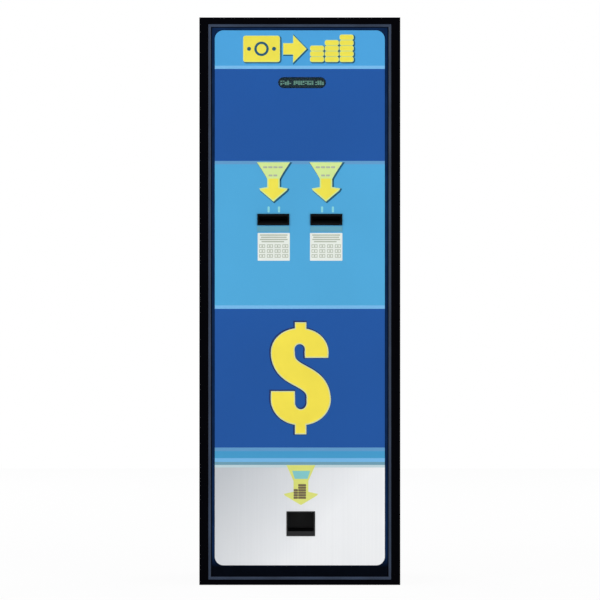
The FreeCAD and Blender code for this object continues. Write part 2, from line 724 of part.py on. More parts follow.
def build_cup():
    """The cup that the coins fall into, with a lip and a floor that slopes to the front."""
    owner = body("coin_cup")
    face = sketch_on(owner, "XZ_Plane", "-(cup_front)")
    draw_rectangle(face, centred("cup_x", "cup_width"), ("cup_up", "cup_top"))
    block_feature = pad(owner, face, "cup_depth", backwards=True)
    names = edges_along(block_feature.Shape, FreeCAD.Vector(0, 1, 0), lambda middle: True)
    round_edges(owner, block_feature, names, "cup_corner")
    inside = sketch_on(owner, "YZ_Plane", "cup_x - cup_width / 2 + cup_wall")
    floor = "cup_up + cup_wall"
    draw_polygon(inside, [
        ("cup_front - 1", f"{floor} + cup_lip"),
        ("cup_front + cup_wall", f"{floor} + cup_lip"),
        ("cup_front + 2 * cup_wall", floor),
        ("cup_back - cup_wall", f"{floor} + cup_slope"),
        ("cup_back - cup_wall", "cup_top - cup_wall"),
        ("cup_front - 1", "cup_top - cup_wall"),
    ])
    pocket(owner, inside, "cup_width - 2 * cup_wall", backwards=True)
    entry = sketch_on(owner, "XY_Plane", "cup_top")
    middle = "drop_front + chute_exit_depth / 2"
    draw_rectangle(entry, centred("cup_x", "chute_exit_width"),
                   centred(middle, "chute_exit_depth"))
    pocket(owner, entry, "cup_wall")
    node("coin_cup", owner)


# Electrics
def build_control_board():
    """The logic board on the right wall, with its parts and two push buttons."""
    y = centred("middle_y", "control_width")
    z = ("control_up", "control_up + control_height")
    board = block("control_board", ("control_face", "control_face + board_thick"), y, z)
    node("control_board", board)
    parts = []
    # Name, distance along the board, height on it, width, height and thickness in grid steps
    layout = (
        ("relay_1", -32, 79, 13, 15, 9), ("relay_2", -17, 79, 13, 15, 9),
        ("relay_3", -2, 79, 13, 15, 9), ("terminals", 25, 79, 30, 7, 6),
        ("processor", 18, 53, 17, 17, 2), ("memory", -4, 53, 7, 15, 2),
        ("transformer", -28, 51, 20, 22, 15), ("plug_row", 9, 31, 55, 5, 5),
    )
    for name, along, up, width, height, thick in layout:
        parts.append(block(name, (f"control_face - {thick} * board_grid", "control_face"),
                           centred(f"middle_y + {along} * board_grid", f"{width} * board_grid"),
                           centred(f"control_up + {up} * board_grid", f"{height} * board_grid")))
    for index in range(2):
        along, up = button_place(index)
        base = block(f"button_blank_{index}",
                     ("control_face - button_base_thick", "control_face"),
                     centred(along, "button_base"), centred(up, "button_base"))
        bore = rod(f"button_bore_{index}", "x",
                   ("control_face - button_base_thick - 1", along, up),
                   "button_base_thick + 1", "button_radius + running_gap")
        parts.append(cut(f"button_case_{index}", base, [bore]))
    node("board_parts", together("board_parts", parts))


def button_place(index):
    along = f"middle_y - control_width / 4 + {index} * button_spacing"
    return along, "control_up + button_base"


def build_buttons():
    for index, label in enumerate(("test_button", "reset_button")):
        along, up = button_place(index)
        start = "control_face - button_base_thick + 2 - button_length"
        node(label, rod(label, "x", (start, along, up), "button_length", "button_radius"))


def build_standoffs():
    """Pillars that hold the two circuit boards off the steel."""
    pillars = []
    inset = "standoff_inset"
    for index, (sx, sz) in enumerate(((-1, -1), (1, -1), (-1, 1), (1, 1))):
        x = f"display_x + {sx} * (display_board_width / 2 - {inset})"
        z = f"display_up + {sz} * (display_board_height / 2 - {inset})"
        pillars.append(rod(f"display_pillar_{index}", "y", (x, "plate_back", z),
                           "standoff_length", "standoff_radius"))
        y = f"middle_y + {sx} * (control_width / 2 - {inset})"
        up = f"control_up + control_height / 2 + {sz} * (control_height / 2 - {inset})"
        pillars.append(rod(f"control_pillar_{index}", "x",
                           ("control_face + board_thick", y, up),
                           "standoff_length", "standoff_radius"))
    node("board_standoffs", together("board_standoffs", pillars))


def build_power():
    """The power supply on the floor, and the inlet with its switch in the rear frame."""
    supply = block("power_supply", centred("supply_x", "supply_width"),
                   ("rear_inside - supply_depth - shelf_lip", "rear_inside - shelf_lip"),
                   ("wall", "wall + supply_height"))
    node("power_supply", supply)
    flange = block("inlet_flange", centred("inlet_x", "inlet_width"), ("rear", "rear + wall"),
                   centred("inlet_up", "inlet_height"))
    case = block("inlet_case", centred("inlet_x", "inlet_width - 4 * wall"),
                 ("rear - inlet_body_depth", "rear"), centred("inlet_up", "inlet_body_height"))
    tools = [
        block("socket_room", centred("socket_x", "socket_width"),
              ("rear + wall - socket_depth", "rear + wall + 1"),
              centred("inlet_up", "socket_height")),
        block("rocker_room", centred("rocker_x", "rocker_width + 2 * fit_gap"),
              ("rear - rocker_thick - rocker_room", "rear + wall + 1"),
              centred("inlet_up", "rocker_height + 2 * rocker_room")),
        rod("rocker_bore", "x", ("rocker_x - rocker_width / 2 - wall", "rear", "inlet_up"),
            "rocker_width + 2 * wall", "rocker_pin_radius + running_gap"),
    ]
    node("power_inlet", cut("power_inlet", join("inlet_solid", [flange, case]), tools))
    owner = body("power_switch")
    side = sketch_on(owner, "YZ_Plane", "rocker_x - rocker_width / 2")
    draw_polygon(side, [
        ("rear - rocker_thick / 2", "inlet_up - rocker_height / 3"),
        ("rear + rocker_thick / 2", "inlet_up - rocker_height / 2"),
        ("rear + rocker_thick / 3", "inlet_up"),
        ("rear + rocker_thick / 2", "inlet_up + rocker_height / 2"),
        ("rear - rocker_thick / 2", "inlet_up + rocker_height / 3"),
    ])
    pad(owner, side, "rocker_width")
    pin = sketch_on(owner, "YZ_Plane", "rocker_x - rocker_width / 2 - wall + 1")
    draw_circle(pin, "rear", "inlet_up", "rocker_pin_radius")
    pad(owner, pin, "rocker_width + 2 * wall - 2")
    node("power_switch", owner)


# Rear frame and door
def build_rear_frame():
    doorway = (centred("0", "doorway_width"), ("doorway_low", "doorway_high"))
    window = (centred("inlet_x", "inlet_width - 4 * wall + 2 * fit_gap"),
              centred("inlet_up", "inlet_body_height + 2 * fit_gap"))
    outlines = [(("-half_width", "half_width"), ("0", "cab_height")), doorway, window]
    owner, _ = front_sheet("rear_frame", "rear_inside", "wall", outlines, [])
    node("rear_frame", owner)


def build_door():
    """A steel pan: outer skin, four edges and a return flange round the inside."""
    owner = body("rear_door_blank")
    wide = centred("0", "door_width")
    high = ("door_low", "door_high")
    inner_wide = centred("0", "door_width - 2 * door_skin")
    inner_high = ("door_low + door_skin", "door_high - door_skin")
    open_wide = centred("0", "door_width - 2 * door_return")
    open_high = ("door_low + door_return", "door_high - door_return")
    flange = sketch_on(owner, "XZ_Plane", "-(door_front)")
    draw_rectangle(flange, wide, high)
    draw_rectangle(flange, open_wide, open_high)
    pad(owner, flange, "door_skin", backwards=True)
    edges = sketch_on(owner, "XZ_Plane", "-(door_front + door_skin)")
    draw_rectangle(edges, wide, high)
    draw_rectangle(edges, inner_wide, inner_high)
    pad(owner, edges, "door_depth - 2 * door_skin", backwards=True)
    skin = sketch_on(owner, "XZ_Plane", "-(door_back - door_skin)")
    draw_rectangle(skin, wide, high)
    draw_circle(skin, "handle_x", "handle_up", "latch_spindle_radius + fit_gap")
    pad(owner, skin, "door_skin", backwards=True)
    vents = []
    for name, start in (("low", "vent_low"), ("high", "vent_high")):
        for index in range(int(dims.get("vent_count"))):
            up = f"{start} + {index} * vent_pitch"
            vents.append(pill(f"vent_{name}_{index}", "0", up, "vent_width", "vent_height",
                              ("door_back - door_skin - 1", "door_back + 1")))
    node("rear_door", cut("rear_door", owner, vents))
    outer = centred("0", "door_width - 2 * fit_gap - 2 * door_skin")
    outer_high = ("door_low + door_skin + fit_gap", "door_high - door_skin - fit_gap")
    inner = centred("0", "door_width - 2 * fit_gap - 2 * door_skin - 2 * seal_width")
    inner_up = ("door_low + door_skin + fit_gap + seal_width",
                "door_high - door_skin - fit_gap - seal_width")
    seal, _ = front_sheet("door_seal", "rear + fit_gap", "seal_thick - fit_gap",
                          [(outer, outer_high), (inner, inner_up)], [])
    node("door_seal", seal)


def rib_up(index):
    """The middle channel is level with the handle, and the others are spread either side."""
    ends = {-1: "door_low + rib_bottom_gap", 1: "door_high - rib_top_gap"}
    steps = index - 2
    if steps == 0:
        return "handle_up"
    end = ends[1 if steps > 0 else -1]
    return f"handle_up + {abs(steps)} * (({end}) - handle_up) / 2"


def build_door_ribs():
    """Five channels across the inside of the door that stiffen it and carry the latch."""
    ribs = []
    wide = centred("0", "door_width - 2 * door_return - 2 * fit_gap")
    low, high = wide
    for index in range(5):
        up = rib_up(index)
        solid = block(f"rib_solid_{index}", wide, ("door_front", "door_back - door_skin"),
                      centred(up, "rib_height"))
        tools = [block(f"rib_hollow_{index}", (f"{low} - 1", f"{high} + 1"),
                       ("door_front + rib_skin", "door_back - door_skin + 1"),
                       centred(up, "rib_height - 2 * rib_skin"))]
        if index == 2:
            tools.append(rod("spindle_hole", "y", ("handle_x", "door_front - 1", "handle_up"),
                             "door_depth", "latch_spindle_radius + fit_gap"))
        ribs.append(cut(f"rib_{index}", solid, tools))
    node("door_ribs", together("door_ribs", ribs))


def build_hinges():
    """Three lift-off hinges: a barrel on the cabinet, one on the door and a pin."""
    fixed = []
    moving = []
    pins = []
    for index in range(3):
        low = f"hinge_low + {index} * hinge_pitch"
        upper = f"{low} + barrel_length + fit_gap"
        for name, start, foot, pieces in (
            ("fixed", low, (centred("hinge_x", "2 * barrel_radius"), ("rear", "hinge_y")), fixed),
            ("moving", upper, (("hinge_x", "-door_width / 2"),
                               centred("hinge_y", "2 * barrel_radius")), moving),
        ):
            barrel = rod(f"{name}_barrel_{index}", "z", ("hinge_x", "hinge_y", start),
                         "barrel_length", "barrel_radius")
            leaf = block(f"{name}_leaf_{index}", foot[0], foot[1],
                         (start, f"{start} + barrel_length"))
            bore = rod(f"{name}_bore_{index}", "z", ("hinge_x", "hinge_y", f"{start} - 1"),
                       "barrel_length + 2", "hinge_pin_radius + running_gap")
            solid = join(f"{name}_solid_{index}", [barrel, leaf])
            pieces.append(cut(f"{name}_knuckle_{index}", solid, [bore]))
        pins.append(rod(f"hinge_pin_{index}", "z", ("hinge_x", "hinge_y", low),
                        "2 * barrel_length", "hinge_pin_radius"))
    node("hinge_barrels_cabinet", together("hinge_barrels_cabinet", fixed))
    node("hinge_barrels_door", together("hinge_barrels_door", moving))
    node("hinge_pins", together("hinge_pins", pins))


# Handle, lock and latch
def build_handle():
    """A tee handle whose stem turns in a collar, with a bore for the lock."""
    collar = rod("collar_blank", "y", ("handle_x", "door_back", "handle_up"), "collar_thick",
                 "collar_radius")
    hole = rod("collar_hole", "y", ("handle_x", "door_back - 1", "handle_up"),
               "collar_thick + 2", "stem_radius + fit_gap")
    node("handle_collar", cut("handle_collar", collar, [hole]))
    end = "cab_depth / 2"
    stem = rod("stem", "y", ("handle_x", "door_back + fit_gap", "handle_up"),
               "handle_reach - fit_gap", "stem_radius")
    bar = block("handle_bar", centred("handle_x", "bar_length"), (f"{end} - bar_thick", end),
                centred("handle_up", "bar_height"))
    bore = rod("plug_bore", "y", ("handle_x", f"{end} - plug_depth", "handle_up"),
               "plug_depth + 1", "plug_radius + running_gap")
    node("tee_handle", cut("tee_handle", join("tee_solid", [stem, bar]), [bore]))
    plug = rod("plug_blank", "y", ("handle_x", f"{end} - plug_depth + fit_gap", "handle_up"),
               "plug_depth - fit_gap", "plug_radius")
    keyway = block("keyway", centred("handle_x", "key_width"), (f"{end} - key_depth", f"{end} + 1"),
                   centred("handle_up", "key_height"))
    node("lock_plug", cut("lock_plug", plug, [keyway]))


def build_latch_cam():
    """The spindle with a bar across its end, whose two pins drive the rods."""
    bar = block("cam_bar", centred("0", "2 * cam_reach + cam_width"), ("cam_front", "cam_back"),
                centred("0", "cam_width"))
    bar_tilted = doc.addObject("Part::Compound", "cam_bar_tilted")
    bar_tilted.Links = [bar]
    bar_tilted.Placement = FreeCAD.Placement(
        FreeCAD.Vector(), FreeCAD.Rotation(FreeCAD.Vector(0, 1, 0), 45)
    )
    place(bar_tilted, "handle_x", "0", "handle_up")
    spindle = rod("latch_spindle", "y", ("handle_x", "cam_front", "handle_up"),
                  "door_back + fit_gap - (cam_front)", "latch_spindle_radius")
    pins = [
        rod(f"cam_pin_{index}", "y",
            (f"handle_x + {sign} * cam_rest", "cam_front", f"handle_up - {sign} * cam_rest"),
            "cam_thick + cam_gap + yoke_thick", "cam_pin_radius")
        for index, sign in enumerate((1, -1))
    ]
    node("latch_cam", join("latch_cam", [bar_tilted, spindle] + pins))


def build_latch_rods():
    """Two rods with a slotted end that run up and down behind the rear frame."""
    depth = centred("rod_y", "yoke_thick")
    for name, sign, tip in (("upper", 1, "doorway_high - rod_top_gap"),
                            ("lower", -1, "doorway_low + rod_top_gap")):
        x = f"handle_x + {sign} * (yoke_middle)"
        pin = f"handle_up - {sign} * (cam_rest)"
        slot_half = "cam_pin_radius + yoke_slack"
        outer = f"{pin} - {sign} * (cam_pin_radius + yoke_slack + wall)"
        inner = f"handle_up + {sign} * (latch_spindle_radius + yoke_above + cam_rest)"
        z = (outer, inner) if sign > 0 else (inner, outer)
        plate = block(f"yoke_{name}", centred(x, "yoke_width"), depth, z)
        start = f"handle_up + {sign} * (latch_spindle_radius + cam_rest)"
        ends = (start, tip) if sign > 0 else (tip, start)
        bar = rod(f"rod_{name}", "z", (x, "rod_y", ends[0]), f"({ends[1]}) - ({ends[0]})",
                  "rod_radius")
        slot = block(f"yoke_slot_{name}", centred(x, "yoke_width - 2 * wall"),
                     centred("rod_y", "4 * rod_radius"), centred(pin, f"2 * ({slot_half})"))
        solid = join(f"latch_solid_{name}", [plate, bar])
        node(f"latch_rod_{name}", cut(f"latch_rod_{name}", solid, [slot]))


def build_rod_guides():
    """Blocks on the door's channels that the rods slide through."""
    guides = []
    for sign, rows in ((-1, (0, 1)), (1, (3, 4))):
        x = f"handle_x + {sign} * (yoke_middle)"
        for row in rows:
            solid = block(f"guide_blank_{row}", centred(x, "guide_width"),
                          ("rod_y - rod_radius - guide_wall", "door_front"),
                          centred(rib_up(row), "guide_height"))
            bore = rod(f"guide_bore_{row}", "z",
                       (x, "rod_y", f"{rib_up(row)} - guide_height"), "2 * guide_height",
                       "rod_radius + running_gap")
            guides.append(cut(f"guide_{row}", solid, [bore]))
    node("rod_guides", together("rod_guides", guides))


build_cabinet_walls()
build_front_frame()
build_front_plate()
build_panel()
build_studs()
build_display()
for side_name, side_sign in SIDES:
    build_mask(side_name, side_sign)
    build_lip(side_name, side_sign)
    build_validator(side_name, side_sign)
    build_cash_box(side_name, side_sign)
    build_hopper_base(side_name, side_sign)
    build_hopper_disc(side_name, side_sign)
    build_bowl(side_name, side_sign)
build_shelves()
build_chute()
build_cup()
build_control_board()
build_buttons()
build_standoffs()
build_power()
build_rear_frame()
build_door()
build_door_ribs()
build_hinges()
build_handle()
build_latch_cam()
build_latch_rods()
build_rod_guides()
doc.recompute()

# Every feature and sub-part is sound before anything is written
for item in doc.Objects:
    if "Invalid" in item.State or "Error" in item.State:
        raise RuntimeError(f"{item.Label} failed: {item.State}")
for item in NODES:
    if item.Shape.isNull() or not item.Shape.isValid() or not item.Shape.Solids:
        raise RuntimeError(f"{item.Label} has no valid solid")

os.makedirs("parts", exist_ok=True)
for item in NODES:
    item.Shape.exportStep(f"parts/{item.Label}.step")
    print(item.Label, len(item.Shape.Solids), round(item.Shape.Volume))
print(len(NODES), "sub-parts")
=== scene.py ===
# %% [markdown]
# # A coin changer, dressed for the camera
# The cabinet, its doors and everything inside come ready-made from the frame. This lesson gives each
# surface its finish, adds the printed signs on the front and the small trim, and lights the result.

# %% Load the frame
import json

import bpy
import numpy as np
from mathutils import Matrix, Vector


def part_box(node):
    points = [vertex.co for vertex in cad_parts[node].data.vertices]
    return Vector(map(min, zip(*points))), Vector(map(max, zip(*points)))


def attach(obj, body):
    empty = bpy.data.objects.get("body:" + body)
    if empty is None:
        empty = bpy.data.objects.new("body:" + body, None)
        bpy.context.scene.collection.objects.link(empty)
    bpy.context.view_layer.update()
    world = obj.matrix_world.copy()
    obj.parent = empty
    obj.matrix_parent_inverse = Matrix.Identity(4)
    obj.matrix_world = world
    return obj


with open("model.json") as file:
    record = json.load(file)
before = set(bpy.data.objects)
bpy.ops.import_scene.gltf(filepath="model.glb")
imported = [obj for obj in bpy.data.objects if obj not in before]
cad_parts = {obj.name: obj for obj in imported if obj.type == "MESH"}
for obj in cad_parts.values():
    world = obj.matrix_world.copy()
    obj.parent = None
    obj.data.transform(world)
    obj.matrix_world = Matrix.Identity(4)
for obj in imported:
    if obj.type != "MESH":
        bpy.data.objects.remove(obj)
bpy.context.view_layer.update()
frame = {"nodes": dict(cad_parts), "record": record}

# %% [markdown]
# The photograph is a square of 600 pixels that looks straight at the front. The cabinet's outline there
# gives the scale, so a sign's place can be named in pixels and turned into metres on the real front.

# %% Pixels to metres
photo_left, photo_right = 199.5, 400.1
photo_top, photo_bottom = 17.4, 585.0
image_size = 600
cabinet_low, cabinet_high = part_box("front_frame")
cabinet_height = cabinet_high.z - cabinet_low.z
metres_per_pixel = cabinet_height / (photo_bottom - photo_top)
photo_middle = (photo_left + photo_right) / 2


def across(pixel):
    """Metres right of the middle: pixels from the outline's middle times the scale."""
    return (np.asarray(pixel, float) - photo_middle) * metres_per_pixel


def up(pixel):
    """Metres above the floor: pixels above the outline's foot times the scale."""
    return (photo_bottom - np.asarray(pixel, float)) * metres_per_pixel


print("scale", round(metres_per_pixel * 1000, 3), "mm a pixel")

# %% [markdown]
# Colours are picked as a screen shows them, from 0 to 255. Blender works in linear light, so each one
# is converted once, with the standard curve, before it goes into a shader.

# %% Colour helper
def screen(red, green, blue):
    """A linear colour from screen values: ((v + 0.055) / 1.055) ^ 2.4 for all but the darkest."""
    value = np.array([red, green, blue], float) / 255
    linear = np.where(value <= 0.04045, value / 12.92, ((value + 0.055) / 1.055) ** 2.4)
    return (*linear.tolist(), 1.0)


print("middle grey is", round(screen(128, 128, 128)[0], 3), "in linear light")

# %% [markdown]
# A finish is a node tree. Two helpers keep the trees short: one starts a material with its shader, and
# one adds a node and links or sets its inputs. An input is named as Blender names it, with low lines for
# spaces, or by its number, such as i0, where two inputs share a name.

# %% Material helpers
def new_finish(name, colour, roughness, metallic=0.0, **shader_values):
    """A material whose shader has plain values, ready for patterns to be added."""
    finish = bpy.data.materials.new(name)
    finish.use_nodes = True
    shader = finish.node_tree.nodes["Principled BSDF"]
    shader.inputs["Base Color"].default_value = colour
    shader.inputs["Roughness"].default_value = roughness
    shader.inputs["Metallic"].default_value = metallic
    for socket, value in shader_values.items():
        shader.inputs[socket.replace("_", " ")].default_value = value
    finish.diffuse_color = colour
    return finish, finish.node_tree, shader


def add_node(tree, kind, settings=None, **links):
    """Add a node, set its plain values, and link or set its inputs by name."""
    made = tree.nodes.new(kind)
    for key, value in (settings or {}).items():
        setattr(made, key, value)
    for name, source in links.items():
        socket = made.inputs[int(name[1:])] if name[0] == "i" and name[1:].isdigit() else (
            made.inputs[name.replace("_", " ")])
        if isinstance(source, bpy.types.NodeSocket):
            tree.links.new(source, socket)
        else:
            socket.default_value = source
    return made


# %% [markdown]
# Patterns need a place to read, a way to turn one value into a colour or another value, and a way to
# lay one over the other. The place is always the piece's own coordinates, so that a pattern stays
# fixed to the piece in every view and pose.

# %% Pattern helpers
def own_place(tree, stretch=(1, 1, 1)):
    """The piece's own coordinates in metres, stretched along each axis."""
    coordinates = add_node(tree, "ShaderNodeTexCoord")
    mapping = add_node(tree, "ShaderNodeMapping", Vector=coordinates.outputs["Object"], Scale=stretch)
    return mapping.outputs["Vector"]


def noise(tree, place, scale, detail=4.0, roughness=0.55):
    """Cloudy values about 0.5, with scale clouds to the metre."""
    return add_node(tree, "ShaderNodeTexNoise", Vector=place, Scale=scale, Detail=detail,
                    Roughness=roughness).outputs["Fac"]


def ramp(tree, factor, stops):
    """A colour ramp through (position, colour) stops."""
    made = add_node(tree, "ShaderNodeValToRGB", Fac=factor)
    band = made.color_ramp
    for index, (position, colour) in enumerate(stops):
        element = band.elements[index] if index < 2 else band.elements.new(position)
        element.position = position
        element.color = colour
    return made.outputs["Color"]


def rerange(tree, value, low, high):
    """Carry a value from 0..1 to low..high."""
    return add_node(tree, "ShaderNodeMapRange", Value=value, To_Min=low, To_Max=high).outputs["Result"]


def mixed(tree, factor, first, second, way="MIX"):
    """One colour laid over another by a factor, in one of the node's ways of blending."""
    made = add_node(tree, "ShaderNodeMix", {"data_type": "RGBA", "blend_type": way})
    for index, source in ((0, factor), (6, first), (7, second)):
        if isinstance(source, bpy.types.NodeSocket):
            tree.links.new(source, made.inputs[index])
        else:
            made.inputs[index].default_value = source
    return made.outputs[2]


def bumped(tree, shader, height, distance, strength=0.5):
    """Let a value from 0 to 1 stand for a relief of that many metres."""
    bump = add_node(tree, "ShaderNodeBump", Height=height, Distance=distance, Strength=strength)
    tree.links.new(bump.outputs["Normal"], shader.inputs["Normal"])


def tinted(colour, factor):
    """The same colour, lighter or darker."""
    return tuple(channel * factor for channel in colour[:3]) + (1.0,)


def grey(level):
    return (level, level, level, 1.0)


# %% [markdown]
# Most of the surfaces are one of a few kinds: powder coat, moulded plastic, plated or brushed steel,
# rubber. Each kind is a function, so that three recipes make most of the finishes. Every recipe varies
# its colour a little over the surface, roughens it unevenly and adds the fine grain that the real
# finish has, at its real size.

# %% Finish recipes
def grained(name, colour, roughness, grain, depth, metallic=0.0, cloud=0.12, **extra):
    """Powder coat, plastic or rubber: fine grain in the bump, slow clouds in the colour."""
    finish, tree, shader = new_finish(name, colour, roughness, metallic, **extra)
    place = own_place(tree)
    clouds = noise(tree, place, 9.0)
    dust = noise(tree, place, grain, 3.0)
    shade = ramp(tree, clouds, ((0.3, tinted(colour, 1 - cloud)), (0.75, tinted(colour, 1 + cloud))))
    tree.links.new(shade, shader.inputs["Base Color"])
    gloss = rerange(tree, noise(tree, place, 38.0), roughness * 0.82, min(roughness * 1.18, 1))
    tree.links.new(gloss, shader.inputs["Roughness"])
    bumped(tree, shader, dust, depth)
    return finish


def brushed(name, colour, roughness, along, metallic=1.0, streak=0.08, **extra):
    """Brushed metal: noise drawn out along the brushing, in the colour, the gloss and the bump."""
    finish, tree, shader = new_finish(name, colour, roughness, metallic, **extra)
    stretch = tuple(2.0 if axis == along else 900.0 for axis in "xyz")
    lines = noise(tree, own_place(tree, stretch), 1.0, 5.0, 0.6)
    patches = noise(tree, own_place(tree), 3.2, 3.0)
    shade = ramp(tree, lines, ((0.25, tinted(colour, 1 - streak)), (0.8, tinted(colour, 1 + streak))))
    soft = ramp(tree, patches, ((0.3, (0.94, 0.95, 0.97, 1)), (0.75, grey(1.0))))
    tree.links.new(mixed(tree, 1.0, shade, soft, "MULTIPLY"), shader.inputs["Base Color"])
    tree.links.new(rerange(tree, lines, roughness * 0.75, roughness * 1.3), shader.inputs["Roughness"])
    bumped(tree, shader, lines, 0.00002, 0.35)
    return finish


def plated(name, colour, roughness):
    """Zinc plate: small spangles of slightly different grey, over metal."""
    finish, tree, shader = new_finish(name, colour, roughness, 1.0)
    place = own_place(tree)
    cells = add_node(tree, "ShaderNodeTexVoronoi", Vector=place, Scale=160.0).outputs["Color"]
    spangle = add_node(tree, "ShaderNodeRGBToBW", Color=cells).outputs["Val"]
    shade = ramp(tree, spangle, ((0.1, tinted(colour, 0.86)), (0.9, tinted(colour, 1.1))))
    tree.links.new(shade, shader.inputs["Base Color"])
    tree.links.new(rerange(tree, spangle, roughness * 0.8, roughness * 1.2), shader.inputs["Roughness"])
    bumped(tree, shader, noise(tree, place, 700.0), 0.00002, 0.3)
    return finish


# %% [markdown]
# The printed film is the face of the machine: bands of light and dark blue with thin pale lines where
# they meet. On the real film they are printed in one pass. Here each band covers everything above its
# lower edge, from the bottom up, so every edge is a hard step at an exact height. Fine ink speckle and
# slow clouds keep the film from looking flat.

# %% The printed film
light_blue = screen(75, 164, 213)
header_blue = screen(70, 157, 214)
dark_blue = screen(20, 80, 155)
low_blue = screen(65, 152, 200)
pale_line = screen(115, 181, 228)
soft_line = screen(93, 151, 198)
teal_grey = screen(107, 155, 175)
cream_line = screen(190, 212, 218)

band_edges = (
    (photo_bottom, cream_line), (465.0, teal_grey), (462.0, pale_line), (458.2, low_blue),
    (451.2, soft_line), (447.6, dark_blue), (308.8, pale_line), (305.4, light_blue),
    (164.2, soft_line), (160.9, dark_blue), (68.8, pale_line), (65.6, header_blue),
)


def printed_film():
    """Bands by height, each one covering all above its lower edge, then ink speckle and slow clouds."""
    finish, tree, shader = new_finish("printed_film", dark_blue, 0.42, Specular_IOR_Level=0.2)
    place = own_place(tree)
    height = add_node(tree, "ShaderNodeSeparateXYZ", Vector=place).outputs["Z"]
    bands = band_edges[0][1]
    for edge, colour in band_edges[1:]:
        above = add_node(tree, "ShaderNodeMath", {"operation": "GREATER_THAN"}, i0=height,
                         i1=float(up(edge)))
        bands = mixed(tree, above.outputs[0], bands, colour)
    speckle = ramp(tree, noise(tree, place, 1400.0, 2.0), ((0.2, grey(0.93)), (0.8, grey(1.05))))
    clouds = ramp(tree, noise(tree, place, 2.6, 2.0), ((0.3, grey(0.95)), (0.7, grey(1.04))))
    inked = mixed(tree, 1.0, bands, speckle, "MULTIPLY")
    tree.links.new(mixed(tree, 1.0, inked, clouds, "MULTIPLY"), shader.inputs["Base Color"])
    tree.links.new(rerange(tree, noise(tree, place, 55.0), 0.36, 0.5), shader.inputs["Roughness"])
    bumped(tree, shader, noise(tree, place, 900.0), 0.00002, 0.25)
    return finish


print("film bands", len(band_edges))

# %% [markdown]
# The steel plate behind the panel shows as a dark channel round it. It is powder coated near-black; its
# blue tint is a painted reflection of the blue film, and painted shade makes it darker at the foot. A matt
# coat mirrors almost nothing, so its specular level is far below the usual half.

# %% The channel
matt = 0.012
painted_shade_low, painted_shade_high = 0.045, 0.075


def channel_coat_painted_reflection_and_shade():
    """Near-black with a painted blue reflection, fading to black between two heights above the floor as
    painted shade.
    """
    colour = screen(15, 38, 74)
    finish, tree, shader = new_finish("channel_coat_painted_reflection_and_shade", colour, 0.5, Specular_IOR_Level=matt)
    place = own_place(tree)
    height = add_node(tree, "ShaderNodeSeparateXYZ", Vector=place).outputs["Z"]
    # Painted shade: between these two heights the coat darkens to black towards the foot of the channel.
    share = add_node(tree, "ShaderNodeMapRange", Value=height, From_Min=painted_shade_low,
                     From_Max=painted_shade_high).outputs[0]
    coat = ramp(tree, share, ((0.0, screen(4, 7, 15)), (1.0, colour)))
    clouds = ramp(tree, noise(tree, place, 30.0), ((0.3, grey(0.8)), (0.7, grey(1.15))))
    tree.links.new(mixed(tree, 1.0, coat, clouds, "MULTIPLY"), shader.inputs["Base Color"])
    bumped(tree, shader, noise(tree, place, 1500.0), 0.00004)
    return finish


# %% [markdown]
# A circuit board's green lacquer shows the copper under it as slightly lighter tracks. A brick pattern
# with long thin bricks gives straight tracks at a believable pitch.

# %% Circuit board lacquer
def circuit_lacquer():
    """Green bricks with paler joints, thin and long, in a glossy coat."""
    green = screen(12, 92, 48)
    finish, tree, shader = new_finish("circuit_lacquer", green, 0.35, Coat_Weight=0.4)
    tracks = add_node(tree, "ShaderNodeTexBrick", Vector=own_place(tree), Scale=60.0,
                      Color1=green, Color2=tinted(green, 0.8), Mortar=screen(40, 132, 78),
                      Mortar_Size=0.06, Brick_Width=0.9, Row_Height=0.3)
    tree.links.new(tracks.outputs["Color"], shader.inputs["Base Color"])
    bumped(tree, shader, tracks.outputs["Fac"], 0.00004, 0.4)
    return finish


# %% [markdown]
# The bare steel of the panel mirrors a wide dim room: it is lighter towards the lower right. A slow ramp
# across the sheet, laid over the brushing, gives that sheen without a mirror image.

# %% Panel steel
def panel_steel():
    """Upright brushing, times a sheen that follows x - 0.9 z."""
    steel = screen(235, 236, 237)
    finish = brushed("panel_steel", steel, 0.45, "z", 0.4, 0.035)
    tree = finish.node_tree
    shader = tree.nodes["Principled BSDF"]
    axes = add_node(tree, "ShaderNodeSeparateXYZ", Vector=own_place(tree, (1.0, 1.0, -0.9)))
    slope = add_node(tree, "ShaderNodeMath", {"operation": "ADD"}, i0=axes.outputs["X"],
                     i1=axes.outputs["Z"]).outputs[0]
    share = add_node(tree, "ShaderNodeMapRange", Value=slope, From_Min=-0.45, From_Max=-0.08).outputs[0]
    sheen = ramp(tree, share, ((0.0, (0.62, 0.64, 0.66, 1)), (1.0, grey(1.0))))
    brushing = shader.inputs["Base Color"].links[0].from_socket
    tree.links.new(mixed(tree, 1.0, brushing, sheen, "MULTIPLY"), shader.inputs["Base Color"])
    return finish


# %% [markdown]
# The lock's plug has a keyway, a narrow slot in its face. It is not cut. The material paints it as a
# near-black patch, painted shade for the slot's hollow, by asking how far each point lies from the plug's
# axis, so it turns with the plug.

# %% Lock face
keyway_half_width, keyway_half_height = 0.0009, 0.0045


